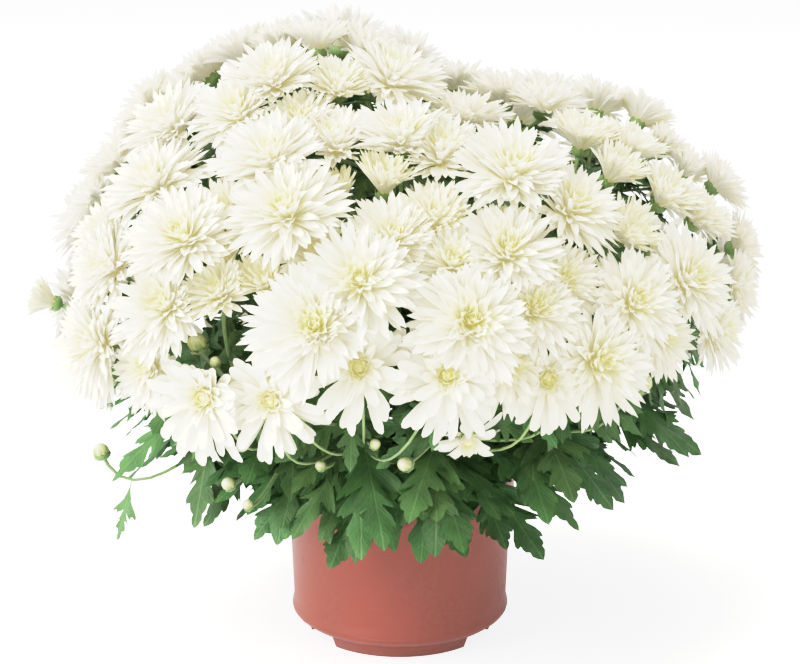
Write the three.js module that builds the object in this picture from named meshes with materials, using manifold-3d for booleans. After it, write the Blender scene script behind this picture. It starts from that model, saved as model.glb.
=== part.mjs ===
// A potted florist's chrysanthemum: a dome of white double blooms over lobed
// green leaves, in a low plastic pot.  Millimetres, +Z up, the front faces -Y
// and the pot stands on z = 0 with its axis on x = y = 0.
import * as THREE from 'three';
import Module from 'manifold-3d';

const wasm = await Module();
wasm.setup();

// ---- driving dimensions ---------------------------------------------------
const POT = {
  height: 114,
  rimRadius: 78.5,
  rimBand: 15,
  wallTop: 76.5,
  wallLow: 73.7,
  wallLowHeight: 23,
  bulge: 75,
  bulgeHeight: 17,
  foot: 63,
  footTop: 66,
  footInner: 57,
  footHeight: 9,
  floor: 11,
  thickness: 1.9,
  sides: 28,
  footGap: 35,
  footGaps: 3,
};
const GAP = 0.3;
const SOIL = { top: 97.5, crown: 99.5, sides: 16 };
const STEM = { base: 2.7, middle: 2.3, tip: 2, sunk: 20, sides: 4, bend: 70 };
const PEDICEL = { neck: 2, end: 0.9 };
const BRANCH = { root: 1.3, middle: 1, sides: 5, high: 0.35, low: 0.65 };
const KNOB = { radius: 3.6, length: 8, sides: 4 };

// The dome on which the hearts of the blooms lie, and the hill on its crown.
const DOME = {
  centre: 235, right: 228, left: 224, front: 190, back: 208,
  up: 132, down: 110, power: 2.2,
};
const LIFT = { perDiameter: 0.42, middling: 66, most: 12 };
const HILL = { across: -75, reach: 80, rise: 42 };

// Where an onlooker stands in front: the front blooms are placed by how far
// across and how high they show on the upright plane through the pot's axis.
const EYE = new THREE.Vector3(0, -1448.9, 598.2);

// Clearances: between blooms, between the shoots' wedges, under and over the
// ceiling that parts a shoot's leaves from its blooms, and round hub and pot.
const ROOM = {
  bloom: 0.3, wedge: 0.4, leafBelow: 2.8, petalAbove: 2, hub: 74, potRadius: 86, potHeight: 126,
};

// The shoots spread from a point over the soil, in three rings.
const HUB = new THREE.Vector3(0, 0, 125);
const SHOOT_RINGS = [
  { count: 3, rise: 76, turn: 30, soil: 12, below: 54 },
  { count: 7, rise: 54, turn: 12, soil: 28, below: 54 },
  { count: 12, rise: 25, turn: 15, soil: 46, below: 80 },
];

// ---- front blooms, placed by hand -----------------------------------------
// across, height, diameter, openness, lean across, lean back, lean up
const FRONT_BLOOMS = [
  [-54, 399, 64, 0.75, 0, 0.6, 0],
  [-76, 397, 60, 0.8, -0.3, 0.6, 0],
  [-25, 395, 60, 0.8, 0.1, 0.6, 0],
  [3, 389, 62, 0.85, 0.3, 0.6, 0],
  [-8, 376, 80, 0.95, 0, 0, 0.3],
  [-41, 371, 58, 0.7, -0.1, 0.1, 0.4],
  [-82, 375, 74, 0.95, 0, 0.1, 0.3],
  [-101, 392, 62, 0.8, -0.2, 0.6, 0],
  [-123, 382, 58, 0.8, -0.4, 0.4, 0],
  [-137, 369, 60, 0.85, -0.4, 0.4, 0],
  [-161, 360, 60, 0.85, -0.4, 0.2, 0],
  [-147, 345, 80, 1.0, -0.1, 0, 0.2],
  [-104, 353, 72, 1.0, 0, 0, 0.2],
  [-66, 348, 62, 0.9, 0, 0, 0.3],
  [-83, 321, 84, 1.0, 0, 0, 0],
  [-43, 333, 68, 0.85, 0, 0, 0.3],
  [-38, 301, 44, 0.35, -0.2, 0, 0.3],
  [-73, 286, 86, 1.0, -0.1, 0, 0],
  [-10, 306, 58, 0.45, 0.1, 0, 0.6],
  [2, 335, 80, 1.0, 0, 0, 0.1],
  [-139, 316, 36, 0.3, 0, 0, 0],
  [-158, 306, 80, 1.0, -0.1, 0, 0],
  [-184, 322, 66, 0.9, -0.3, 0, 0],
  [-197, 300, 58, 0.85, -0.4, 0, 0],
  [-140, 270, 86, 1.0, 0, 0, 0],
  [-190, 276, 64, 0.9, -0.3, 0, 0],
  [-189, 252, 72, 0.95, -0.3, 0, 0],
  [-113, 259, 46, 0.4, 0, 0, 0],
  [-114, 287, 58, 0.8, 0, 0, 0],
  [-90, 241, 50, 0.5, 0, 0, 0.5],
  [-120, 233, 62, 0.7, 0, 0, 0.5],
  [-154, 224, 78, 0.95, 0, 0, 0.3],
  [-198, 201, 80, 1.0, -0.2, 0, 0],
  [-165, 186, 64, 0.95, 0, 0, 0],
  [-130, 165, 84, 1.1, 0, 0, 0.1],
  [-86, 162, 76, 1.1, 0, 0, 0.1],
  [-55, 211, 92, 1.0, 0, 0, 0.1],
  [-26, 241, 86, 1.0, 0, 0, 0],
  [-5, 270, 66, 0.8, 0.1, 0, 0],
  [-58, 261, 54, 0.8, 0, 0, 0],
  [-27, 185, 76, 1.05, 0, 0, 0],
  [23, 283, 58, 0.6, 0, 0, 0.2],
  [72, 281, 54, 0.55, 0, 0, 0.3],
  [73, 311, 90, 1.0, 0, 0, 0],
  [110, 289, 78, 1.0, 0.3, 0, 0],
  [145, 275, 58, 0.55, 0.5, 0, 0],
  [138, 314, 56, 0.5, 0.4, 0, 0.2],
  [119, 335, 58, 0.6, 0, 0, 0.2],
  [149, 329, 58, 0.65, 0.2, 0, 0.2],
  [172, 298, 58, 0.6, 0.2, 0, 0.1],
  [195, 285, 56, 0.7, 0.2, 0, 0.3],
  [207, 309, 54, 0.8, 0.5, 0.2, 0],
  [222, 267, 58, 0.8, 0.6, 0, 0],
  [221, 241, 54, 0.85, 0.6, 0, -0.2],
  [187, 243, 78, 1.0, 0.1, 0, 0],
  [152, 228, 76, 1.0, 0, 0, 0],
  [106, 242, 62, 0.9, 0, 0, 0],
  [70, 259, 80, 0.95, 0, 0, 0.2],
  [35, 254, 64, 0.9, 0, 0, 0.1],
  [46, 215, 90, 1.0, 0, 0, 0],
  [88, 222, 74, 0.95, 0, 0, 0.2],
  [31, 179, 78, 1.1, 0, 0, 0.1],
  [71, 186, 64, 1.0, 0, 0, 0.1],
  [98, 177, 68, 1.1, 0, 0, 0],
  [128, 189, 84, 1.0, 0.1, 0, 0],
  [169, 207, 62, 0.95, 0.2, 0, -0.1],
  [207, 211, 62, 0.95, 0.4, 0, 0],
  [46, 136, 46, 1.15, 0, 0, -0.1],
  [-232, 230, 44, 0.45, -0.5, 0, 0.3],
  [37, 372, 62, 0.85, 0, 0.4, 0],
  [68, 364, 64, 0.85, 0, 0.4, 0],
  [94, 359, 68, 0.95, 0, 0.2, 0.1],
  [128, 359, 60, 0.8, 0.1, 0.5, 0],
  [156, 352, 54, 0.7, 0.3, 0.5, 0],
  [170, 333, 52, 0.8, 0.4, 0.2, 0],
  [187, 316, 54, 0.8, 0.3, 0.2, 0],
  [27, 325, 72, 0.9, 0, 0, 0.2],
  [43, 352, 62, 0.9, 0, 0.2, 0.2],
];

// Buds among the blooms: across, depth, height, radius
const BUDS = [
  [-123, -152, 244, 6.5],
  [-111, -166, 236, 3.6],
  [-97, -166, 224, 6.5],
  [-59, -170, 203, 3.6],
  [-15, -172, 186, 3.6],
  [3, -168, 172, 5.0],
  [150, -133, 213, 6.5],
  [222, -22, 240, 5.5],
  [60, 190, 190, 5.0],
  [-150, 130, 190, 5.0],
  [170, 100, 200, 4.5],
];

// Buds on side branches of the leafy shoots: across, depth, height, radius,
// where the branch leaves the stem, and how far it sags
const SIDE_BUDS = [
  [-199, -42, 139, 6, 0.62, 60],
  [-95, -140, 136, 3.8, 0.62, 18],
  [-107, -138, 149, 4.6, 0.7, 12],
  [-49, -150, 165, 3.6, 0.74, 10],
];
const SIDE_LEAF = { sagging: 40, turn: 20, rise: -72, droop: 0.05, length: 40 };

// How many degrees higher than the rule the low leaves of each outer shoot stand.
const SKIRT_LIFT = [18, 8, 0, 8, 0, 4, 0, 22, 0, 24, 16, 22];

// The rest of the dome is filled by rule.
const FILL = { tries: 420, spacing: 52, lowest: -0.34, skirt: 178, slope: 0.12, front: -30, seed: 2031 };

// ---- small helpers ----------------------------------------------------------
const rad = (degrees) => (degrees * Math.PI) / 180;
const vec = (x, y, z) => new THREE.Vector3(x, y, z);
const UP = vec(0, 0, 1);

function seeded(seed) {
  let state = seed >>> 0;
  return () => {
    state = (Math.imul(state, 1664525) + 1013904223) >>> 0;
    return state / 4294967296;
  };
}

function along(point, direction, distance) {
  return point.clone().addScaledVector(direction, distance);
}

function solid(points, faces) {
  const vertProperties = new Float32Array(points.length * 3);
  points.forEach((p, i) => vertProperties.set([p.x, p.y, p.z], i * 3));
  const triVerts = new Uint32Array(faces.flat());
  return new wasm.Manifold(new wasm.Mesh({ numProp: 3, vertProperties, triVerts }));
}

function joined(solids) {
  return solids.reduce((a, b) => a.add(b));
}

function fromGeometry(geometry) {
  const bare = geometry.clone();
  bare.deleteAttribute('normal');
  bare.deleteAttribute('uv');
  const merged = mergeByPlace(bare);
  return solid(merged.points, merged.faces);
}

function mergeByPlace(geometry) {
  const place = geometry.getAttribute('position');
  const index = geometry.getIndex();
  const known = new Map();
  const points = [];
  const renamed = [];
  for (let i = 0; i < place.count; i += 1) {
    const p = vec(place.getX(i), place.getY(i), place.getZ(i));
    const key = [p.x, p.y, p.z].map((value) => Math.round(value * 1e4)).join(' ');
    if (!known.has(key)) {
      known.set(key, points.length);
      points.push(p);
    }
    renamed.push(known.get(key));
  }
  const faces = [];
  for (let i = 0; i < index.count; i += 3) {
    const face = [0, 1, 2].map((corner) => renamed[index.getX(i + corner)]);
    if (new Set(face).size === 3) faces.push(face);
  }
  return { points, faces };
}

// A ring of corners round a point, across an axis.
function ring(centre, axis, side, radius, sides) {
  const other = axis.clone().cross(side).normalize();
  const corners = [];
  for (let i = 0; i < sides; i += 1) {
    const angle = (2 * Math.PI * i) / sides;
    const corner = centre.clone();
    corner.addScaledVector(side, radius * Math.cos(angle));
    corner.addScaledVector(other, radius * Math.sin(angle));
    corners.push(corner);
  }
  return corners;
}

function sideOf(axis) {
  const guide = Math.abs(axis.z) < 0.9 ? UP : vec(1, 0, 0);
  return guide.clone().cross(axis).normalize();
}

// A closed tube along a path, with a radius at each point.
function tube(path, radii, sides, firstSide) {
  const points = [];
  const faces = [];
  let side = firstSide.clone();
  path.forEach((point, i) => {
    const before = path[Math.max(i - 1, 0)];
    const after = path[Math.min(i + 1, path.length - 1)];
    const axis = after.clone().sub(before).normalize();
    side.addScaledVector(axis, -side.dot(axis)).normalize();
    points.push(...ring(point, axis, side, radii[i], sides));
  });
  for (let i = 0; i + 1 < path.length; i += 1) {
    for (let j = 0; j < sides; j += 1) {
      const a = i * sides + j;
      const b = i * sides + ((j + 1) % sides);
      faces.push([a, b, b + sides]);
      faces.push([a, b + sides, a + sides]);
    }
  }
  const last = (path.length - 1) * sides;
  for (let j = 1; j + 1 < sides; j += 1) {
    faces.push([0, j + 1, j]);
    faces.push([last, last + j, last + j + 1]);
  }
  return solid(points, faces);
}

// ---- the dome of blooms -----------------------------------------------------
// Below 1 inside the dome; grown outward by `lift`.
function domeLevel(p, lift) {
  const wide = (p.x > 0 ? DOME.right : DOME.left) + lift;
  const deep = (p.y < 0 ? DOME.front : DOME.back) + lift;
  const fromHill = Math.hypot(p.x - HILL.across, p.y) / HILL.reach;
  const rise = DOME.up + HILL.rise * Math.exp(-(fromHill ** 4));
  const dz = p.z - DOME.centre;
  const tall = (dz > 0 ? rise : DOME.down) + lift;
  const level = Math.hypot(p.x / wide, p.y / deep) ** DOME.power;
  return level + Math.abs(dz / tall) ** DOME.power;
}

function domeNormal(p) {
  const step = 1;
  const slope = (axis) => domeLevel(along(p, axis, step), 0) - domeLevel(along(p, axis, -step), 0);
  return vec(slope(vec(1, 0, 0)), slope(vec(0, 1, 0)), slope(UP)).normalize();
}

// First point of a line inside the dome, or its nearest point to it.
function onDome(start, direction, from, to, lift) {
  let nearest = null;
  let least = Infinity;
  for (let distance = from; distance < to; distance += 2) {
    const level = domeLevel(along(start, direction, distance), lift);
    if (level < 1) {
      let outside = distance - 2;
      let inside = distance;
      for (let turn = 0; turn < 16; turn += 1) {
        const middle = (outside + inside) / 2;
        if (domeLevel(along(start, direction, middle), lift) < 1) inside = middle;
        else outside = middle;
      }
      return along(start, direction, inside);
    }
    if (level < least) {
      least = level;
      nearest = along(start, direction, distance);
    }
  }
  return nearest;
}

function liftOf(diameter) {
  const lift = LIFT.perDiameter * (diameter - LIFT.middling);
  return Math.max(-LIFT.most, Math.min(LIFT.most, lift));
}

function bloomAt(heart, diameter, open, lean) {
  const axis = domeNormal(heart);
  axis.z += 0.25;
  axis.add(lean).normalize();
  return { heart, axis, open, radius: diameter / 2 };
}

function frontBlooms() {
  return FRONT_BLOOMS.map(([across, up, diameter, open, leanX, leanY, leanZ]) => {
    const shown = vec(across, 0, up).sub(EYE);
    const reach = shown.length();
    const heart = onDome(EYE, shown.normalize(), reach - 420, reach + 120, liftOf(diameter));
    return bloomAt(heart, diameter, open, vec(leanX, leanY, leanZ));
  });
}

function fillBlooms(blooms) {
  const random = seeded(FILL.seed);
  for (let i = 0; i < FILL.tries; i += 1) {
    const turn = rad(137.508 * i);
    const rise = FILL.lowest + ((1 - FILL.lowest) * (i + 0.5)) / FILL.tries;
    const flat = Math.sqrt(1 - rise * rise);
    const outward = vec(flat * Math.cos(turn), flat * Math.sin(turn), rise);
    const diameter = 60 + 24 * random();
    const open = 0.8 + 0.28 * random();
    const centre = vec(0, 0, DOME.centre);
    const inside = onDome(along(centre, outward, 420), outward.clone().negate(), 0, 420, liftOf(diameter));
    const clear = blooms.every((b) => b.heart.distanceTo(inside) > FILL.spacing);
    const high = inside.z > FILL.skirt + FILL.slope * inside.x;
    if (clear && high && inside.y > FILL.front) blooms.push(bloomAt(inside, diameter, open, vec(0, 0, 0)));
  }
  return blooms;
}

// Each bloom keeps to its own side of a plane between it and every neighbour.
function addFences(blooms, buds) {
  const all = blooms.concat(buds);
  blooms.forEach((bloom, i) => {
    bloom.fences = [];
    all.forEach((other, j) => {
      const apart = bloom.heart.distanceTo(other.heart);
      if (i === j || apart > bloom.radius + other.radius + 12) return;
      const share = bloom.radius / (bloom.radius + other.radius);
      const fair = Math.max(0.36, Math.min(0.7, share));
      const normal = other.heart.clone().sub(bloom.heart).normalize();
      bloom.fences.push({ normal, at: apart * fair - ROOM.bloom });
    });
  });
}

function insideFences(bloom, point) {
  const offset = point.clone().sub(bloom.heart);
  return bloom.fences.every((fence) => offset.dot(fence.normal) <= fence.at);
}

// ---- shoots -------------------------------------------------------------------
function makeShoots() {
  const shoots = [];
  SHOOT_RINGS.forEach((level) => {
    for (let i = 0; i < level.count; i += 1) {
      const turn = rad(level.turn + (360 * i) / level.count);
      const rise = rad(level.rise);
      const outward = vec(Math.cos(turn), Math.sin(turn), 0);
      const direction = along(vec(0, 0, Math.sin(rise)), outward, Math.cos(rise));
      const skin = onDome(along(HUB, direction, 420), direction.clone().negate(), 0, 420, 0);
      const reach = skin.distanceTo(HUB) - level.below;
      const tip = along(HUB, direction, reach);
      const ceiling = along(direction, UP, 0.9).normalize();
      shoots.push({ level, turn, outward, direction, tip, ceiling });
    }
  });
  return shoots;
}

function nearestShoot(shoots, point) {
  const direction = point.clone().sub(HUB).normalize();
  let best = 0;
  shoots.forEach((shoot, k) => {
    if (shoot.direction.dot(direction) > shoots[best].direction.dot(direction)) best = k;
  });
  return best;
}

function underCeiling(shoots, k, point, margin) {
  return point.clone().sub(shoots[k].tip).dot(shoots[k].ceiling) < margin;
}

// A leaf corner stays in its shoot's own wedge, under the shoot's ceiling,
// clear of the hub and clear of the pot.
function leafRoom(shoots, k, point) {
  const own = shoots[k];
  const offset = point.clone().sub(HUB);
  if (!underCeiling(shoots, k, point, -ROOM.leafBelow)) return false;
  if (offset.length() < ROOM.hub) return false;
  if (point.z < ROOM.potHeight && Math.hypot(point.x, point.y) < ROOM.potRadius) return false;
  return shoots.every((other, j) => {
    if (j === k) return true;
    const across = own.direction.clone().sub(other.direction);
    return offset.dot(across) / across.length() > ROOM.wedge;
  });
}

// ---- one bloom: two rows of petals on a stalk --------------------------------
function petalElevation(open) {
  return open > 1 ? 4 - (open - 1) * 160 : 4 + (1 - open) * 88;
}

function petalCount(bloom) {
  if (bloom.open < 0.6 || bloom.radius < 25) return 5;
  return bloom.radius > 35 ? 8 : 7;
}

function petalPoint(bloom, frame, angle, length, elevation, room) {
  const outward = frame.side.clone().multiplyScalar(Math.cos(angle));
  outward.addScaledVector(frame.other, Math.sin(angle));
  const root = along(bloom.heart, outward, 0.08 * bloom.radius);
  let rise = elevation;
  let reach = length;
  let point = root;
  for (let turn = 0; turn < 30; turn += 1) {
    point = along(root, outward, reach * Math.cos(rad(rise)));
    point.addScaledVector(bloom.axis, reach * Math.sin(rad(rise)));
    if (room(point)) break;
    if (rise < 66) rise += 5;
    reach *= rise < 66 ? 0.975 : 0.9;
  }
  return { point, rise };
}

function bloomBody(bloom, stalkEnd, room, random) {
  const n = petalCount(bloom);
  const { heart, axis, radius } = bloom;
  const side = sideOf(axis);
  const frame = { side, other: axis.clone().cross(side).normalize() };
  const low = petalElevation(bloom.open);
  const start = random() * Math.PI;
  const place = (angle, length, rise) => petalPoint(bloom, frame, angle, length, rise, room);
  const tips = [];
  const roots = [];
  const valleys = [];
  const inner = [];
  for (let i = 0; i < n; i += 1) {
    const angle = start + (2 * Math.PI * i) / n;
    const length = radius * (0.9 + 0.12 * random());
    tips.push(place(angle, length, low + 8 * random() - 4));
  }
  for (let i = 0; i < n; i += 1) {
    const angle = start + (2 * Math.PI * i) / n;
    const next = tips[(i + 1) % n];
    const lowest = Math.min(tips[i].rise, next.rise);
    const highest = Math.max(tips[i].rise, next.rise);
    const between = angle + Math.PI / n;
    const crown = Math.min(90, Math.max(low + 30, highest + 16));
    roots.push(place(angle, 0.34 * radius, Math.min(88, tips[i].rise + 20)).point);
    valleys.push(place(between, 0.56 * radius, lowest - 3).point);
    inner.push(place(between, radius * (0.7 + 0.08 * random()), crown).point);
  }
  const top = along(heart, axis, 0.24 * radius);
  const neck = along(heart, axis, -(0.14 * radius + 5));
  const bend = stalkEnd.clone().sub(neck).normalize().negate();
  const points = [top];
  points.push(...roots, ...inner, ...valleys, ...tips.map((tip) => tip.point));
  const ringStart = points.length;
  points.push(...ring(neck, axis, side, PEDICEL.neck, 3));
  points.push(...ring(stalkEnd, bend, side, PEDICEL.end, 3));
  const faces = [];
  const A = (i) => 1 + (i % n);
  const C = (i) => 1 + n + (i % n);
  const V = (i) => 1 + 2 * n + ((i + n) % n);
  const T = (i) => 1 + 3 * n + (i % n);
  for (let i = 0; i < n; i += 1) {
    faces.push([0, A(i), C(i)], [0, C(i), A(i + 1)]);
    faces.push([A(i), V(i), C(i)], [V(i), A(i + 1), C(i)]);
    faces.push([A(i), V(i - 1), T(i)], [A(i), T(i), V(i)]);
  }
  // the underside runs from the petal edges to the stalk
  const edge = [];
  for (let i = 0; i < n; i += 1) edge.push(T(i), V(i));
  const third = edge.length / 3;
  for (let i = 0; i < edge.length; i += 1) {
    const now = Math.floor(i / third) % 3;
    const next = Math.floor((i + 1) / third) % 3;
    const following = edge[(i + 1) % edge.length];
    faces.push([following, edge[i], ringStart + now]);
    if (next !== now) faces.push([following, ringStart + now, ringStart + next]);
  }
  for (let j = 0; j < 3; j += 1) {
    const a = ringStart + j;
    const b = ringStart + ((j + 1) % 3);
    faces.push([b, a, a + 3], [b, a + 3, b + 3]);
  }
  faces.push([ringStart + 5, ringStart + 4, ringStart + 3]);
  return solid(points, faces);
}

// A closed bud at the end of a stalk that hangs below the straight line.
function branchCurve(root, bud) {
  const control = root.clone().lerp(bud.heart, 0.84).addScaledVector(UP, -bud.sag);
  return new THREE.QuadraticBezierCurve3(root, control, bud.heart);
}

function budBody(bud, root) {
  const r = bud.radius;
  const stalk = branchCurve(root, bud);
  const axis = bud.heart.clone().sub(stalk.v1).normalize();
  const path = [root, stalk.getPoint(BRANCH.high), stalk.getPoint(BRANCH.low)];
  [-1.1, -0.45, 0.45, 1.05].forEach((step) => path.push(along(bud.heart, axis, step * r)));
  const radii = [BRANCH.root, BRANCH.middle, BRANCH.middle, 1.2, r, 0.92 * r, 0.25 * r];
  return tube(path, radii, BRANCH.sides, sideOf(path[1].clone().sub(root).normalize()));
}

// ---- leaves --------------------------------------------------------------------
// Half of the lobed edge: share of the length along, share of it to the side.
const LEAF_EDGE = [
  [0.2, 0.03], [0.27, 0.29], [0.4, 0.31], [0.48, 0.09],
  [0.66, 0.31], [0.75, 0.09], [0.87, 0.13],
];
const SMALL_LEAF_EDGE = [[0.2, 0.03], [0.34, 0.33], [0.48, 0.1], [0.66, 0.3], [0.76, 0.1]];
const LEAF_RIB = [0, 0.2, 0.48, 0.75];
const LEAF_ROOT = 0.012;
const LEAF_RIDGE = 0.9;
const LEAF_ARCH = 0.1;

// The leaves of a shoot of each ring: place on the stem, turn, rise, droop, length
const LEAF_SPOTS = [
  [[0.93, 70, -8, 0.15, 80], [0.86, -60, -6, 0.15, 80], [0.78, 180, -4, 0.15, 70]],
  [[0.93, 70, -10, 0.15, 84], [0.87, -70, -10, 0.15, 84], [0.78, 10, -16, 0.2, 80]],
  [
    [0.93, 40, -8, 0.25, 76], [0.88, -42, -10, 0.25, 76], [0.8, 20, -24, 0.25, 80],
    [0.7, -22, -30, 0.25, 80], [0.54, 4, -44, 0.2, 74],
  ],
];

function leafDirection(turn, rise) {
  return vec(
    Math.cos(rise) * Math.cos(turn),
    Math.cos(rise) * Math.sin(turn),
    Math.sin(rise),
  );
}

function ribPoint(root, direction, droop, length, share) {
  const point = along(root, direction, length * share);
  return along(point, UP, -droop * length * share * share);
}

function leafReach(root, direction, droop, length, room) {
  let reach = length;
  for (let turn = 0; turn < 24; turn += 1) {
    const fits = [0.45, 0.75, 1].every((share) => room(ribPoint(root, direction, droop, reach, share)));
    if (fits) return reach;
    reach *= 0.94;
  }
  return reach;
}

// Turns the leaf a little, either way, until it has room for its length.
function bestTurn(root, turn, rise, droop, length, room) {
  let best = { reach: 0, turn };
  [0, 18, -18, 36, -36, 54, -54].forEach((swing) => {
    if (best.reach > 0.85 * length) return;
    const tried = turn + rad(swing);
    const reach = leafReach(root, leafDirection(tried, rise), droop, length, room);
    if (reach > best.reach) best = { reach, turn: tried };
  });
  return best;
}

function leafBody(root, turn, rise, droop, wanted, edges, room) {
  const best = bestTurn(root, turn, rise, droop, wanted, room);
  const length = best.reach;
  const direction = leafDirection(best.turn, rise);
  const side = direction.clone().cross(UP).normalize();
  const rib = (share) => ribPoint(root, direction, droop, length, share);
  const normalAt = (share) => {
    const tangent = along(direction.clone(), UP, -2 * droop * share).normalize();
    return side.clone().cross(tangent).normalize();
  };
  const edgePoint = (share, width, hand) => {
    const middle = rib(share);
    const reach = width * Math.max(length, 0.8 * wanted);
    let spread = 1;
    let point = middle;
    for (let turnNumber = 0; turnNumber < 14; turnNumber += 1) {
      point = along(middle, side, hand * reach * spread);
      point.addScaledVector(normalAt(share), -LEAF_ARCH * reach * spread - 0.5);
      if (share < 0.1 || room(point)) break;
      spread *= 0.85;
    }
    return point;
  };
  const points = [];
  const faces = [];
  const add = (point) => points.push(point) - 1;
  const ridge = LEAF_RIB.map((s) => add(along(rib(s), normalAt(s), LEAF_RIDGE)));
  const tip = add(rib(1));
  const shares = [0, ...edges.map((corner) => corner[0]), 1];
  const rims = [1, -1].map((hand) => {
    const start = add(edgePoint(0, LEAF_ROOT, hand));
    return [start, ...edges.map(([share, width]) => add(edgePoint(share, width, hand))), tip];
  });
  rims.forEach((rim, isFar) => {
    let i = 0;
    for (let j = 0; j + 1 < rim.length;) {
      const advance = i + 1 < ridge.length && LEAF_RIB[i + 1] < shares[j + 1];
      const third = advance ? ridge[i + 1] : rim[j + 1];
      faces.push(isFar ? [ridge[i], third, rim[j]] : [ridge[i], rim[j], third]);
      if (advance) i += 1;
      else j += 1;
    }
  });
  const [near, far] = rims;
  for (let j = 0; j + 2 < near.length; j += 1) {
    faces.push([near[j], far[j], near[j + 1]], [far[j], far[j + 1], near[j + 1]]);
  }
  faces.push([near.at(-2), far.at(-2), tip], [ridge[0], far[0], near[0]]);
  return solid(points, faces);
}

// ---- stems ----------------------------------------------------------------------
function stemPath(shoot) {
  const radius = shoot.level.soil;
  const foot = along(vec(0, 0, SOIL.top - STEM.sunk), shoot.outward, radius);
  const start = along(vec(0, 0, SOIL.crown + 6), shoot.outward, radius);
  const control = along(HUB, shoot.direction, STEM.bend);
  const curve = new THREE.QuadraticBezierCurve3(start, control, shoot.tip);
  return [foot, start, curve.getPoint(0.34), curve.getPoint(0.68), shoot.tip];
}

function stemPoint(path, share) {
  const legs = path.slice(2).map((point, i) => point.distanceTo(path[i + 1]));
  let left = share * legs.reduce((a, b) => a + b);
  let leg = 0;
  while (leg < legs.length - 1 && left > legs[leg]) {
    left -= legs[leg];
    leg += 1;
  }
  return path[leg + 1].clone().lerp(path[leg + 2], left / legs[leg]);
}

// A small leaf that hangs from the lowest stretch of a side branch.
function sideLeaf(shoot, bud, root, room) {
  const low = branchCurve(root, bud).getPoint(BRANCH.low);
  const { turn, rise, droop, length } = SIDE_LEAF;
  return leafBody(low, shoot.turn + rad(turn), rad(rise), droop, length, SMALL_LEAF_EDGE, room);
}

function shootBody(shoots, k, sideBuds, random) {
  const shoot = shoots[k];
  const path = stemPath(shoot);
  const radii = [STEM.base, STEM.base, STEM.middle, STEM.middle, STEM.tip];
  const parts = [tube(path, radii, STEM.sides, shoot.outward)];
  const room = (point) => leafRoom(shoots, k, point);
  const ringNumber = SHOOT_RINGS.indexOf(shoot.level);
  const lift = ringNumber === 2 ? SKIRT_LIFT[k - SHOOT_RINGS[0].count - SHOOT_RINGS[1].count] : 0;
  LEAF_SPOTS[ringNumber].forEach(([share, turn, rise, droop, length], spot) => {
    const root = stemPoint(path, share);
    const swing = shoot.turn + rad(turn + 16 * random() - 8);
    const reach = length * (0.92 + 0.16 * random());
    const edges = ringNumber === 2 ? LEAF_EDGE : SMALL_LEAF_EDGE;
    const slope = rad(rise + 8 * random() - 4 + (spot > 1 ? lift : 0));
    parts.push(leafBody(root, swing, slope, droop, reach, edges, room));
  });
  sideBuds.forEach((bud) => {
    const root = stemPoint(path, bud.share);
    parts.push(budBody(bud, root));
    if (bud.sag > SIDE_LEAF.sagging) parts.push(sideLeaf(shoot, bud, root, room));
  });
  return joined(parts);
}

function sprayBody(shoots, k, blooms, buds, random) {
  const shoot = shoots[k];
  const path = stemPath(shoot);
  const end = path[4].clone().sub(path[3]).normalize();
  const base = along(shoot.tip, end, GAP);
  const crown = along(shoot.tip, end, GAP + KNOB.length);
  const heart = along(shoot.tip, end, GAP + 0.6 * KNOB.length);
  const radii = [KNOB.radius, KNOB.radius];
  const parts = [tube([base, crown], radii, KNOB.sides, sideOf(end))];
  blooms.forEach((bloom) => {
    const room = (point) => insideFences(bloom, point)
      && !underCeiling(shoots, nearestShoot(shoots, point), point, ROOM.petalAbove);
    parts.push(bloomBody(bloom, heart, room, random));
  });
  buds.forEach((bud) => parts.push(budBody(bud, heart)));
  return joined(parts);
}

// ---- pot and soil ----------------------------------------------------------------
function turned(profile, sides) {
  const points = profile.map(([radius, height]) => new THREE.Vector2(radius, height));
  const geometry = new THREE.LatheGeometry(points, sides);
  geometry.rotateX(Math.PI / 2);
  return fromGeometry(geometry);
}

function potBody() {
  const t = POT.thickness;
  const band = POT.height - POT.rimBand;
  const profile = [
    [0, POT.footHeight], [POT.footInner, POT.footHeight], [POT.footInner + 1, 0],
    [POT.foot, 0], [POT.footTop, POT.footHeight], [POT.footTop + 3, POT.footHeight + 1],
    [POT.bulge - 2, POT.footHeight + 4], [POT.bulge, POT.bulgeHeight],
    [POT.wallLow, POT.wallLowHeight], [POT.wallTop, band - 0.6], [POT.rimRadius, band],
    [POT.rimRadius, POT.height - 1], [POT.rimRadius - 1, POT.height],
    [POT.rimRadius - t - 0.4, POT.height], [POT.wallTop - t, band - 0.6],
    [POT.wallLow - t, POT.wallLowHeight], [POT.wallLow - t - 5, POT.floor + 2.6],
    [POT.foot, POT.floor], [0, POT.floor],
  ];
  let pot = turned(profile, POT.sides);
  for (let i = 0; i < POT.footGaps; i += 1) {
    const turn = rad(-90 + 60 + (360 * i) / POT.footGaps);
    const notch = new THREE.BoxGeometry(26, POT.footGap, 2 * POT.footHeight);
    notch.translate(POT.foot - 8, 0, 0);
    notch.rotateZ(turn);
    pot = pot.subtract(fromGeometry(notch));
  }
  return pot;
}

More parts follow.
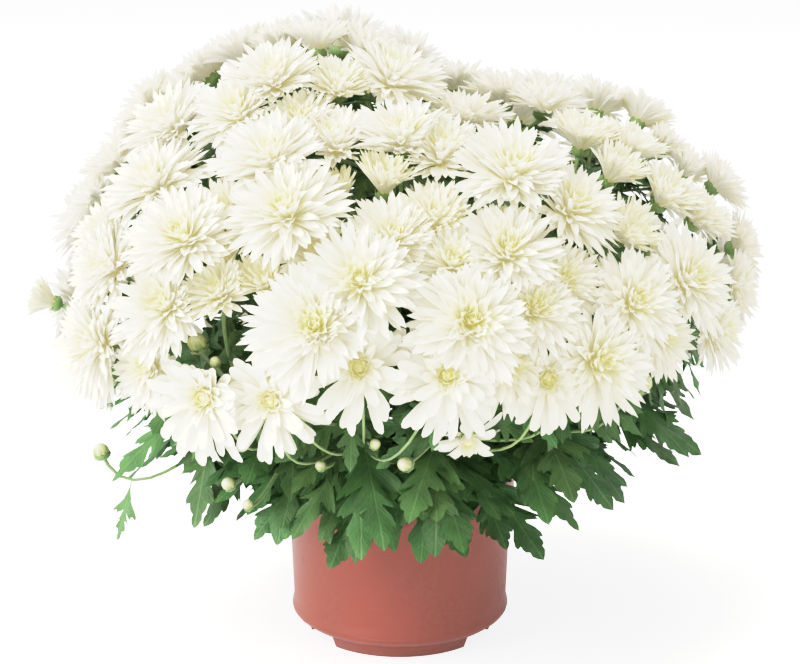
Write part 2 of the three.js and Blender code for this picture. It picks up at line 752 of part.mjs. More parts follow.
function soilBody(shoots) {
  const inner = POT.wallLow - POT.thickness - GAP;
  const high = POT.wallTop - POT.thickness - GAP - 0.5;
  const profile = [
    [0, POT.floor + GAP], [POT.foot - 0.6, POT.floor + GAP],
    [inner - 5.6, POT.floor + 3], [inner - 0.4, POT.wallLowHeight],
    [high, SOIL.top], [high - 14, SOIL.crown], [0, SOIL.crown],
  ];
  let soil = turned(profile, SOIL.sides);
  const wide = STEM.base + 1.42 * GAP;
  shoots.forEach((shoot) => {
    const foot = along(vec(0, 0, SOIL.top - STEM.sunk - GAP), shoot.outward, shoot.level.soil);
    const mouth = along(foot, UP, STEM.sunk + 12);
    soil = soil.subtract(tube([foot, mouth], [wide, wide], STEM.sides, shoot.outward));
  });
  return soil;
}

// ---- assembly ----------------------------------------------------------------------
const COLOURS = { pot: 0xbb7063, soil: 0x3b2a20, leaf: 0x3f6b33, petal: 0xf4f3e2 };
const part = new THREE.Group();

function addNode(name, shape, colour, roughness) {
  const mesh = shape.getMesh();
  const geometry = new THREE.BufferGeometry();
  const places = new Float32Array(mesh.vertProperties);
  geometry.setAttribute('position', new THREE.BufferAttribute(places, 3));
  geometry.setIndex(Array.from(mesh.triVerts));
  geometry.computeVertexNormals();
  const material = new THREE.MeshStandardMaterial({ color: colour, roughness, metalness: 0 });
  const node = new THREE.Mesh(geometry, material);
  node.name = name;
  part.add(node);
}

const shoots = makeShoots();
const blooms = fillBlooms(frontBlooms());
const budAt = ([x, y, z, radius, share = 1, sag = 6]) => ({ heart: vec(x, y, z), radius, share, sag });
const buds = BUDS.map(budAt);
const sideBuds = SIDE_BUDS.map(budAt);
addFences(blooms, buds.concat(sideBuds));
const random = seeded(77);

addNode('pot', potBody(), COLOURS.pot, 0.55);
addNode('soil', soilBody(shoots), COLOURS.soil, 0.95);
shoots.forEach((shoot, k) => {
  const label = String(k + 1).padStart(2, '0');
  const mine = (thing) => nearestShoot(shoots, thing.heart) === k;
  addNode(`shoot_${label}`, shootBody(shoots, k, sideBuds.filter(mine), random), COLOURS.leaf, 0.6);
  const ownBlooms = blooms.filter(mine);
  const ownBuds = buds.filter(mine);
  if (ownBlooms.length + ownBuds.length === 0) return;
  addNode(`spray_${label}`, sprayBody(shoots, k, ownBlooms, ownBuds, random), COLOURS.petal, 0.7);
});

export default part;
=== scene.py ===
"""A potted florist's chrysanthemum: white double blooms over lobed leaves, in a low plastic pot.

The file is laid out as a Blender add-on. Metres, +Z up, the front faces -Y and
the pot stands on z = 0 with its axis on x = y = 0.
"""

import math

import bmesh
import bpy
import numpy as np
from bpy.props import FloatProperty, FloatVectorProperty, IntProperty, PointerProperty
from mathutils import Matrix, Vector


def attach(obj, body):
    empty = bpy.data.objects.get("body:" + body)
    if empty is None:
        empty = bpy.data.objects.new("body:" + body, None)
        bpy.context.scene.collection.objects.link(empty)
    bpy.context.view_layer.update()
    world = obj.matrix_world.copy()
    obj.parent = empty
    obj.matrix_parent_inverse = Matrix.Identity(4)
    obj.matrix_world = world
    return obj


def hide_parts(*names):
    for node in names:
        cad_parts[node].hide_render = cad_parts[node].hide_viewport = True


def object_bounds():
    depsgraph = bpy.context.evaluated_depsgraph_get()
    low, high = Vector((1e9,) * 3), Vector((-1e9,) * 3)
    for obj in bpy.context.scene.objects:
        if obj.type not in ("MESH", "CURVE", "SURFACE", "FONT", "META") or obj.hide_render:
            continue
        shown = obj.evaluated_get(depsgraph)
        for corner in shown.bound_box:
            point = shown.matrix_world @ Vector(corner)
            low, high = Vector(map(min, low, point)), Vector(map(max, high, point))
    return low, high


bl_info = {
    "name": "Pot chrysanthemum",
    "version": (1, 0, 0),
    "blender": (4, 5, 0),
    "location": "3D View > Sidebar > Chrysanthemum",
    "description": "A white pot chrysanthemum with its buds and leaves, in soil in a plastic pot",
    "category": "Add Mesh",
}

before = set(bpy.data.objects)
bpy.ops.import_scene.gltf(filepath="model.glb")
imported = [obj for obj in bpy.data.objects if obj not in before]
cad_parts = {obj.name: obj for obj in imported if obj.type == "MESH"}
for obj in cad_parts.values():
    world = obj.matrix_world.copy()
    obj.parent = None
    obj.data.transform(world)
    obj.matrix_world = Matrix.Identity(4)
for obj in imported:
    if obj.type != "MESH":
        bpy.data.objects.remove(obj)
frame_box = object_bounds()

BODY = "root"
MM = 0.001

# ---- the plant's plan, in millimetres ---------------------------------------
# The same rule as the solids follow, so each bloom and leaf is where its solid is.
DOME = {
    "centre": 235, "right": 228, "left": 224, "front": 190, "back": 208,
    "up": 132, "down": 110, "power": 2.2,
}
HILL = {"across": -75, "reach": 80, "rise": 42}
# blooms over the middling diameter stand proud of the dome, and smaller ones lie deeper
LIFT = {"per_diameter": 0.42, "middling": 66, "most": 12}
# the point from which the front blooms are placed, and the one from which the stems spread
EYE = np.array([0, -1448.9, 598.2])
HUB = np.array([0.0, 0.0, 125.0])
UP = np.array([0.0, 0.0, 1.0])
# clear distances between blooms, between leaves of two shoots, and round hub and pot
ROOM = {
    "bloom": 0.3, "wedge": 0.4, "leaf_below": 2.8, "hub": 74, "pot_radius": 86, "pot_height": 126,
}
STEM_SUNK = 20
STEM_BEND = 70
STEM_UPRIGHT = 6
# shares of the curve at which the solid stem has its bends
STEM_PATH = (0, 0.34, 0.68, 1)
SOIL_TOP = 97.5
SOIL_CROWN = 99.5
KNOB_LENGTH = 8
KNOB_GAP = 0.3

# count, rise, turn, radius on the soil, how far the tip stays below the dome
SHOOT_RINGS = [(3, 76, 30, 12, 54), (7, 54, 12, 28, 54), (12, 25, 15, 46, 80)]
# degrees by which the lower leaves of each outer shoot are lifted
SKIRT_LIFT = [18, 8, 0, 8, 0, 4, 0, 22, 0, 24, 16, 22]

# across, height, diameter, openness, and lean across, back and up where a bloom leans
FRONT_BLOOMS = [
    (-54, 399, 64, 0.75, 0, 0.6), (-76, 397, 60, 0.8, -0.3, 0.6), (-25, 395, 60, 0.8, 0.1, 0.6),
    (3, 389, 62, 0.85, 0.3, 0.6), (-8, 376, 80, 0.95, 0, 0, 0.3),
    (-41, 371, 58, 0.7, -0.1, 0.1, 0.4), (-82, 375, 74, 0.95, 0, 0.1, 0.3),
    (-101, 392, 62, 0.8, -0.2, 0.6), (-123, 382, 58, 0.8, -0.4, 0.4),
    (-137, 369, 60, 0.85, -0.4, 0.4), (-161, 360, 60, 0.85, -0.4, 0.2),
    (-147, 345, 80, 1.0, -0.1, 0, 0.2), (-104, 353, 72, 1.0, 0, 0, 0.2),
    (-66, 348, 62, 0.9, 0, 0, 0.3), (-83, 321, 84, 1.0), (-43, 333, 68, 0.85, 0, 0, 0.3),
    (-38, 301, 44, 0.35, -0.2, 0, 0.3), (-73, 286, 86, 1.0, -0.1),
    (-10, 306, 58, 0.45, 0.1, 0, 0.6), (2, 335, 80, 1.0, 0, 0, 0.1), (-139, 316, 36, 0.3),
    (-158, 306, 80, 1.0, -0.1), (-184, 322, 66, 0.9, -0.3), (-197, 300, 58, 0.85, -0.4),
    (-140, 270, 86, 1.0), (-190, 276, 64, 0.9, -0.3), (-189, 252, 72, 0.95, -0.3),
    (-113, 259, 46, 0.4), (-114, 287, 58, 0.8), (-90, 241, 50, 0.5, 0, 0, 0.5),
    (-120, 233, 62, 0.7, 0, 0, 0.5), (-154, 224, 78, 0.95, 0, 0, 0.3), (-198, 201, 80, 1.0, -0.2),
    (-165, 186, 64, 0.95), (-130, 165, 84, 1.1, 0, 0, 0.1), (-86, 162, 76, 1.1, 0, 0, 0.1),
    (-55, 211, 92, 1.0, 0, 0, 0.1), (-26, 241, 86, 1.0), (-5, 270, 66, 0.8, 0.1),
    (-58, 261, 54, 0.8), (-27, 185, 76, 1.05), (23, 283, 58, 0.6, 0, 0, 0.2),
    (72, 281, 54, 0.55, 0, 0, 0.3), (73, 311, 90, 1.0), (110, 289, 78, 1.0, 0.3),
    (145, 275, 58, 0.55, 0.5), (138, 314, 56, 0.5, 0.4, 0, 0.2), (119, 335, 58, 0.6, 0, 0, 0.2),
    (149, 329, 58, 0.65, 0.2, 0, 0.2), (172, 298, 58, 0.6, 0.2, 0, 0.1),
    (195, 285, 56, 0.7, 0.2, 0, 0.3), (207, 309, 54, 0.8, 0.5, 0.2), (222, 267, 58, 0.8, 0.6),
    (221, 241, 54, 0.85, 0.6, 0, -0.2), (187, 243, 78, 1.0, 0.1), (152, 228, 76, 1.0),
    (106, 242, 62, 0.9), (70, 259, 80, 0.95, 0, 0, 0.2), (35, 254, 64, 0.9, 0, 0, 0.1),
    (46, 215, 90, 1.0), (88, 222, 74, 0.95, 0, 0, 0.2), (31, 179, 78, 1.1, 0, 0, 0.1),
    (71, 186, 64, 1.0, 0, 0, 0.1), (98, 177, 68, 1.1), (128, 189, 84, 1.0, 0.1),
    (169, 207, 62, 0.95, 0.2, 0, -0.1), (207, 211, 62, 0.95, 0.4), (46, 136, 46, 1.15, 0, 0, -0.1),
    (-232, 230, 44, 0.45, -0.5, 0, 0.3), (37, 372, 62, 0.85, 0, 0.4), (68, 364, 64, 0.85, 0, 0.4),
    (94, 359, 68, 0.95, 0, 0.2, 0.1), (128, 359, 60, 0.8, 0.1, 0.5), (156, 352, 54, 0.7, 0.3, 0.5),
    (170, 333, 52, 0.8, 0.4, 0.2), (187, 316, 54, 0.8, 0.3, 0.2), (27, 325, 72, 0.9, 0, 0, 0.2),
    (43, 352, 62, 0.9, 0, 0.2, 0.2),
]

# across, depth, height, radius, place on the stem, sag
BUDS = [
    (-123, -152, 244, 6.5, 1, 6), (-111, -166, 236, 3.6, 1, 6), (-97, -166, 224, 6.5, 1, 6),
    (-59, -170, 203, 3.6, 1, 6), (-15, -172, 186, 3.6, 1, 6), (3, -168, 172, 5.0, 1, 6),
    (150, -133, 213, 6.5, 1, 6), (222, -22, 240, 5.5, 1, 6), (60, 190, 190, 5.0, 1, 6),
    (-150, 130, 190, 5.0, 1, 6), (170, 100, 200, 4.5, 1, 6),
]
SIDE_BUDS = [
    (-199, -42, 139, 6, 0.62, 60), (-95, -140, 136, 3.8, 0.62, 18),
    (-107, -138, 149, 4.6, 0.7, 12), (-49, -150, 165, 3.6, 0.74, 10),
]
# the leaf on a side branch that sags by more than this
SIDE_LEAF = {"sagging": 40, "turn": 20, "rise": -72, "droop": 0.05, "length": 40, "low": 0.65}
# blooms that fill the rest of the dome; diameter and openness have a least and a spread
FILL = {
    "tries": 420, "spacing": 52, "lowest": -0.34, "skirt": 178, "slope": 0.12, "front": -30,
    "diameter": (60, 24), "open": (0.8, 0.28), "seed": 2031,
}
GOLDEN_TURN = 137.508
# how much a bloom turns up from the dome's own direction
FACING_UP = 0.25
# how far before the axis a line to the dome starts, and how far it runs past the axis
SEARCH = 420
BEYOND = 120
# blooms that are closer than this, edge to edge, share a fence
NEIGHBOURS = 12
# where between two blooms their fence may stand
FENCE = (0.36, 0.7)

# share of the length along, share of it to the side
LEAF_EDGE = [
    (0.2, 0.03), (0.27, 0.29), (0.4, 0.31), (0.48, 0.09), (0.66, 0.31), (0.75, 0.09), (0.87, 0.13),
]
SMALL_LEAF_EDGE = [(0.2, 0.03), (0.34, 0.33), (0.48, 0.1), (0.66, 0.3), (0.76, 0.1)]
# how much lower a leaf's edges are than its rib, for each unit to the side
LEAF_ARCH = 0.1
# degrees that a leaf may be turned by to find room for this share of its length
LEAF_SWINGS = (0, 18, -18, 36, -36, 54, -54)
LONG_ENOUGH = 0.85
# places along the rib where room is needed, and steps in length and width while there is none
RIB_PLACES = (0.45, 0.75, 1)
SHORTER = 0.94
NARROWER = 0.85
LEAST_WIDTH = 0.8
# how much less room the edges need than the rib
EDGE_SPARE = 5.0

# place on the stem, turn, rise, droop, length, for a shoot of each ring
LEAF_SPOTS = [
    [(0.93, 70, -8, 0.15, 80), (0.86, -60, -6, 0.15, 80), (0.78, 180, -4, 0.15, 70)],
    [(0.93, 70, -10, 0.15, 84), (0.87, -70, -10, 0.15, 84), (0.78, 10, -16, 0.2, 80)],
    [
        (0.93, 40, -8, 0.25, 76), (0.88, -42, -10, 0.25, 76), (0.8, 20, -24, 0.25, 80),
        (0.7, -22, -30, 0.25, 80), (0.54, 4, -44, 0.2, 74),
    ],
]


def seeded(seed):
    """A plain repeatable run of numbers from 0 to 1."""
    state = seed

    def draw():
        nonlocal state
        state = (state * 1664525 + 1013904223) & 0xFFFFFFFF
        return state / 4294967296

    return draw


def unit(v):
    return v / np.linalg.norm(v)


def heading(turn, rise):
    flat = math.cos(rise)
    return np.array([flat * math.cos(turn), flat * math.sin(turn), math.sin(rise)])


def dome_level(p, lift):
    """Below 1 inside the dome, which is grown outward by lift."""
    wide = (DOME["right"] if p[0] > 0 else DOME["left"]) + lift
    deep = (DOME["front"] if p[1] < 0 else DOME["back"]) + lift
    from_hill = math.hypot(p[0] - HILL["across"], p[1]) / HILL["reach"]
    rise = DOME["up"] + HILL["rise"] * math.exp(-(from_hill**4))
    dz = p[2] - DOME["centre"]
    tall = (rise if dz > 0 else DOME["down"]) + lift
    return math.hypot(p[0] / wide, p[1] / deep) ** DOME["power"] + abs(dz / tall) ** DOME["power"]


def dome_normal(p):
    steps = np.eye(3)
    return unit(np.array([dome_level(p + s, 0) - dome_level(p - s, 0) for s in steps]))


def on_dome(start, direction, low, high, lift):
    """First point of a line inside the dome, or its nearest point to it."""
    nearest, least = None, math.inf
    distance = low
    while distance < high:
        level = dome_level(start + direction * distance, lift)
        if level < 1:
            outside, inside = distance - 2, distance
            for _ in range(16):
                middle = (outside + inside) / 2
                if dome_level(start + direction * middle, lift) < 1:
                    inside = middle
                else:
                    outside = middle
            return start + direction * inside
        if level < least:
            least, nearest = level, start + direction * distance
        distance += 2
    return nearest


def lift_of(diameter):
    lift = LIFT["per_diameter"] * (diameter - LIFT["middling"])
    return max(-LIFT["most"], min(LIFT["most"], lift))


def bloom_at(heart, diameter, openness, lean):
    axis = dome_normal(heart)
    axis[2] += FACING_UP
    return {"heart": heart, "axis": unit(axis + lean), "open": openness, "radius": diameter / 2}


def plan_blooms():
    blooms = []
    for across, up, diameter, openness, *lean in FRONT_BLOOMS:
        shown = np.array([across, 0, up]) - EYE
        reach = np.linalg.norm(shown)
        heart = on_dome(EYE, unit(shown), reach - SEARCH, reach + BEYOND, lift_of(diameter))
        lean = np.array([*lean, 0, 0, 0][:3], float)
        blooms.append(bloom_at(heart, diameter, openness, lean))
    draw = seeded(FILL["seed"])
    centre = np.array([0, 0, DOME["centre"]])
    for i in range(FILL["tries"]):
        turn = math.radians(GOLDEN_TURN * i)
        rise = FILL["lowest"] + (1 - FILL["lowest"]) * (i + 0.5) / FILL["tries"]
        flat = math.sqrt(1 - rise * rise)
        outward = np.array([flat * math.cos(turn), flat * math.sin(turn), rise])
        diameter = FILL["diameter"][0] + FILL["diameter"][1] * draw()
        openness = FILL["open"][0] + FILL["open"][1] * draw()
        heart = on_dome(centre + outward * SEARCH, -outward, 0, SEARCH, lift_of(diameter))
        clear = all(np.linalg.norm(b["heart"] - heart) > FILL["spacing"] for b in blooms)
        high = heart[2] > FILL["skirt"] + FILL["slope"] * heart[0]
        if clear and high and heart[1] > FILL["front"]:
            blooms.append(bloom_at(heart, diameter, openness, np.zeros(3)))
    return blooms


def add_fences(blooms, buds):
    """Each bloom keeps to its own side of a plane between it and every neighbour."""
    for bloom in blooms:
        normals, limits = [], []
        for other in blooms + buds:
            gap = other["heart"] - bloom["heart"]
            apart = np.linalg.norm(gap)
            radii = bloom["radius"] + other["radius"]
            if other is bloom or apart > radii + NEIGHBOURS:
                continue
            share = max(FENCE[0], min(FENCE[1], bloom["radius"] / radii))
            normals.append(gap / apart)
            limits.append(apart * share - ROOM["bloom"])
        bloom["fence_normals"] = np.array(normals).reshape(-1, 3)
        bloom["fence_limits"] = np.array(limits)


def plan_shoots():
    shoots = []
    for number, (count, rise, first, soil, below) in enumerate(SHOOT_RINGS):
        for i in range(count):
            turn = math.radians(first + 360 * i / count)
            outward = np.array([math.cos(turn), math.sin(turn), 0.0])
            rising = math.radians(rise)
            direction = outward * math.cos(rising) + UP * math.sin(rising)
            skin = on_dome(HUB + direction * SEARCH, -direction, 0, SEARCH, 0)
            tip = HUB + direction * (np.linalg.norm(skin - HUB) - below)
            foot = outward * soil + UP * (SOIL_TOP - STEM_SUNK)
            start = outward * soil + UP * (SOIL_CROWN + STEM_UPRIGHT)
            shoots.append({
                "ring": number, "turn": turn, "outward": outward, "direction": direction,
                "tip": tip, "ceiling": unit(direction + UP * 0.9), "foot": foot,
                "curve": (start, HUB + direction * STEM_BEND, tip),
            })
    return shoots


def bezier(curve, share):
    a, b, c = curve
    return a * (1 - share) ** 2 + b * 2 * share * (1 - share) + c * share**2


def stem_point(shoot, share):
    path = [bezier(shoot["curve"], s) for s in STEM_PATH]
    legs = [np.linalg.norm(b - a) for a, b in zip(path, path[1:])]
    left = share * sum(legs)
    leg = 0
    while leg < len(legs) - 1 and left > legs[leg]:
        left -= legs[leg]
        leg += 1
    return path[leg] + (path[leg + 1] - path[leg]) * left / legs[leg]


class Plan:
    """Where each shoot, leaf, bloom and bud stands."""

    def __init__(self):
        self.shoots = plan_shoots()
        self.directions = np.array([s["direction"] for s in self.shoots])
        self.tips = np.array([s["tip"] for s in self.shoots])
        self.ceilings = np.array([s["ceiling"] for s in self.shoots])
        self.blooms = plan_blooms()
        self.buds = [self.bud_at(*row) for row in BUDS]
        self.side_buds = [self.bud_at(*row) for row in SIDE_BUDS]
        add_fences(self.blooms, self.buds + self.side_buds)
        for thing in self.blooms + self.buds + self.side_buds:
            thing["shoot"] = int(self.nearest(thing["heart"][None])[0])
        draw = seeded(77)
        for k, shoot in enumerate(self.shoots):
            shoot["leaves"] = self.plan_leaves(k, draw)
            for bloom in self.blooms:
                if bloom["shoot"] == k:
                    self.skip_petals(bloom, draw)

    @staticmethod
    def bud_at(x, y, z, radius, share, sag):
        return {"heart": np.array([x, y, z], float), "radius": radius, "share": share, "sag": sag}

    @staticmethod
    def skip_petals(bloom, draw):
        """Passes over the numbers that the solid bloom draws."""
        few = bloom["open"] < 0.6 or bloom["radius"] < 25
        petals = 5 if few else 8 if bloom["radius"] > 35 else 7
        for _ in range(1 + 3 * petals):
            draw()

    def nearest(self, points):
        offset = points - HUB
        return np.argmax(offset @ self.directions.T, axis=1)

    def above_ceiling(self, points, margin):
        """True where a point is over the plane that parts leaves from blooms."""
        k = self.nearest(points)
        return np.sum((points - self.tips[k]) * self.ceilings[k], axis=1) >= margin

    def leaf_room(self, k, point, spare=0.0):
        """A leaf keeps to its shoot's wedge, under its ceiling, off hub and pot."""
        own = self.shoots[k]
        offset = point - HUB
        if (point - own["tip"]) @ own["ceiling"] >= spare - ROOM["leaf_below"]:
            return False
        if np.linalg.norm(offset) < ROOM["hub"]:
            return False
        flat = math.hypot(point[0], point[1])
        if point[2] < ROOM["pot_height"] and flat < ROOM["pot_radius"]:
            return False
        across = own["direction"] - self.directions
        lengths = np.linalg.norm(across, axis=1)
        lengths[k] = 1
        sides = across @ offset / lengths
        sides[k] = math.inf
        return bool(np.all(sides > ROOM["wedge"] - spare))

    def plan_leaves(self, k, draw):
        shoot = self.shoots[k]
        ring = shoot["ring"]
        lift = SKIRT_LIFT[k - 10] if ring == 2 else 0
        edges = LEAF_EDGE if ring == 2 else SMALL_LEAF_EDGE
        leaves = []
        for spot, (share, turn, rise, droop, length) in enumerate(LEAF_SPOTS[ring]):
            swing = shoot["turn"] + math.radians(turn + 16 * draw() - 8)
            reach = length * (0.92 + 0.16 * draw())
            slope = math.radians(rise + 8 * draw() - 4 + (lift if spot > 1 else 0))
            root = stem_point(shoot, share)
            leaves.append(self.leaf_at(k, root, swing, slope, droop, reach, edges))
        for bud in self.side_buds:
            if bud["shoot"] == k and bud["sag"] > SIDE_LEAF["sagging"]:
                low = bezier(self.branch(k, bud), SIDE_LEAF["low"])
                swing = shoot["turn"] + math.radians(SIDE_LEAF["turn"])
                slope = math.radians(SIDE_LEAF["rise"])
                droop, length = SIDE_LEAF["droop"], SIDE_LEAF["length"]
                leaves.append(self.leaf_at(k, low, swing, slope, droop, length, SMALL_LEAF_EDGE))
        return leaves

    def branch(self, k, bud):
        """The curve of a side branch, or of a bud's stalk among the blooms."""
        shoot = self.shoots[k]
        if bud["share"] < 1:
            root = stem_point(shoot, bud["share"])
        else:
            root = self.knob(shoot)
        control = root + (bud["heart"] - root) * 0.84 - UP * bud["sag"]
        return root, control, bud["heart"]

    @staticmethod
    def tip_way(shoot):
        """The direction in which a stem ends."""
        return unit(shoot["tip"] - bezier(shoot["curve"], STEM_PATH[-2]))

    @classmethod
    def knob(cls, shoot):
        """Where the stalks of a shoot's blooms leave its tip."""
        return shoot["tip"] + cls.tip_way(shoot) * (KNOB_GAP + 0.6 * KNOB_LENGTH)

    def leaf_at(self, k, root, turn, rise, droop, wanted, edges):
        """A leaf that is turned, cut short and made narrower until it has room."""
        def along(direction, length, share):
            return root + direction * length * share - UP * droop * length * share**2

        def reach_of(direction):
            reach = wanted
            for _ in range(24):
                if all(self.leaf_room(k, along(direction, reach, s)) for s in RIB_PLACES):
                    break
                reach *= SHORTER
            return reach

        best, best_turn = 0, turn
        for swing in LEAF_SWINGS:
            if best > LONG_ENOUGH * wanted:
                break
            reach = reach_of(heading(turn + math.radians(swing), rise))
            if reach > best:
                best, best_turn = reach, turn + math.radians(swing)
        direction = heading(best_turn, rise)
        side = unit(np.cross(direction, UP))
        width = max(best, LEAST_WIDTH * wanted)
        spreads = []
        for hand in (1, -1):
            row = []
            for share, half in edges:
                tangent = unit(direction - UP * 2 * droop * share)
                normal = unit(np.cross(side, tangent))
                spread = 1.0
                for _ in range(14):
                    out = half * width * spread
                    point = along(direction, best, share) + side * hand * out
                    point = point - normal * (LEAF_ARCH * out + 0.5)
                    if self.leaf_room(k, point, EDGE_SPARE):
                        break
                    spread *= NARROWER
                row.append(spread)
            spreads.append(row)
        return {
            "root": root, "direction": direction, "side": side, "droop": droop, "length": best,
            "width": width, "shares": [share for share, _ in edges], "spreads": spreads,
        }


plan = Plan()


# ---- sizes and colours a user would change ------------------------------------
RGB = {"size": 3, "min": 0, "max": 1}


class MUM_PG_pot(bpy.types.PropertyGroup):
    height: FloatProperty(
        name="Height", description="From the table to the rim", default=0.114, unit="LENGTH",
    )
    rim: FloatProperty(
        name="Rim radius", description="Outside of the rim band", default=0.0785, unit="LENGTH",
    )
    band: FloatProperty(
        name="Rim band", description="Height of the rim band", default=0.015, unit="LENGTH",
    )
    wall: FloatProperty(
        name="Wall", description="Thickness of the plastic", default=0.0019, unit="LENGTH",
    )
    colour: FloatVectorProperty(
        name="Plastic", description="Colour of the pot", subtype="COLOR",
        default=(0.255, 0.062, 0.042), **RGB,
    )
    dust: FloatVectorProperty(
        name="Dust", description="Pale film on the plastic", subtype="COLOR",
        default=(0.34, 0.18, 0.14), **RGB,
    )


class MUM_PG_soil(bpy.types.PropertyGroup):
    crumbs: IntProperty(name="Crumbs", description="Loose lumps on the soil", default=420, min=0)
    colour: FloatVectorProperty(
        name="Soil", description="Colour of the damp peat", subtype="COLOR",
        default=(0.035, 0.022, 0.014), **RGB,
    )


class MUM_PG_bloom(bpy.types.PropertyGroup):
    petal_width: FloatProperty(name="Petal width", description="Times the usual width", default=1.0)
    petal_thickness: FloatProperty(
        name="Petal thickness", description="How thick a petal is", default=0.0004, unit="LENGTH",
    )
    face: FloatVectorProperty(
        name="Petal face", description="Colour of the inner side", subtype="COLOR",
        default=(0.975, 0.955, 0.75), **RGB,
    )
    back: FloatVectorProperty(
        name="Petal back", description="Colour of the outer side", subtype="COLOR",
        default=(0.97, 0.935, 0.85), **RGB,
    )
    heart: FloatVectorProperty(
        name="Heart", description="Colour of the young petals in the middle", subtype="COLOR",
        default=(0.97, 0.92, 0.41), **RGB,
    )


class MUM_PG_green(bpy.types.PropertyGroup):
    leaf: FloatVectorProperty(
        name="Leaf", description="Colour of the upper side", subtype="COLOR",
        default=(0.104, 0.238, 0.070), **RGB,
    )
    under: FloatVectorProperty(
        name="Leaf underside", description="Colour of the lower side", subtype="COLOR",
        default=(0.10, 0.215, 0.085), **RGB,
    )
    vein: FloatVectorProperty(
        name="Vein", description="Colour of the midrib and veins", subtype="COLOR",
        default=(0.17, 0.31, 0.12), **RGB,
    )
    stem: FloatVectorProperty(
        name="Stem", description="Colour of stems and stalks", subtype="COLOR",
        default=(0.27, 0.40, 0.13), **RGB,
    )
    bud: FloatVectorProperty(
        name="Bud", description="Colour of the closed petals", subtype="COLOR",
        default=(0.52, 0.56, 0.24), **RGB,
    )


# ---- small helpers --------------------------------------------------------------
def deselect():
    if bpy.context.object and bpy.context.object.mode != "OBJECT":
        bpy.ops.object.mode_set(mode="OBJECT")
    bpy.ops.object.select_all(action="DESELECT")


def start_edit():
    """Edit mode on the object that was just added, with all of it selected."""
    obj = bpy.context.active_object
    bpy.ops.object.mode_set(mode="EDIT")
    bpy.ops.mesh.select_all(action="SELECT")
    return obj


def end_edit(outward=False):
    """Back to object mode, where outward is True with all faces turned outward first."""
    if outward:
        bpy.ops.mesh.select_all(action="SELECT")
        bpy.ops.mesh.normals_make_consistent(inside=False)
    bpy.ops.object.mode_set(mode="OBJECT")


def merge_all(threshold):
    bpy.ops.mesh.select_all(action="SELECT")
    bpy.ops.mesh.remove_doubles(threshold=threshold)


def pick(obj, choose):
    """In edit mode, selects the vertices whose place passes a test."""
    bpy.ops.mesh.select_mode(type="VERT")
    shape = bmesh.from_edit_mesh(obj.data)
    for vertex in shape.verts:
        vertex.select = bool(choose(vertex.co))
    shape.select_flush_mode()
    bmesh.update_edit_mesh(obj.data)


def apply_modifier(obj, kind, **settings):
    modifier = obj.modifiers.new(kind.title(), kind)
    for key, value in settings.items():
        setattr(modifier, key, value)
    bpy.context.view_layer.objects.active = obj
    bpy.ops.object.modifier_apply(modifier=modifier.name)


def finish_piece(obj, name, materials, replaced=(), smooth=55):
    """Smooths a piece up to an angle, gives it its finish, and lets it ride on the frame."""
    deselect()
    obj.select_set(True)
    bpy.context.view_layer.objects.active = obj
    bpy.ops.object.shade_smooth_by_angle(angle=math.radians(smooth))
    obj.select_set(False)
    obj.name = name
    obj.data.name = name
    for material in materials:
        obj.data.materials.append(material)
    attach(obj, BODY)
    if replaced:
        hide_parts(*replaced)


class Pattern:
    """A shape that is modelled once, held as arrays so that copies can be bent."""

    def __init__(self, obj):
        mesh = obj.data
        self.points = np.empty(len(mesh.vertices) * 3)
        mesh.vertices.foreach_get("co", self.points)
        self.points = self.points.reshape(-1, 3)
        self.loops = np.empty(len(mesh.loops), int)
        mesh.loops.foreach_get("vertex_index", self.loops)
        self.starts = np.empty(len(mesh.polygons), int)
        mesh.polygons.foreach_get("loop_start", self.starts)
        self.slots = np.empty(len(mesh.polygons), int)
        mesh.polygons.foreach_get("material_index", self.slots)
        self.uv = self.points[self.loops][:, :2]
        bpy.data.objects.remove(obj)
        bpy.data.meshes.remove(mesh)


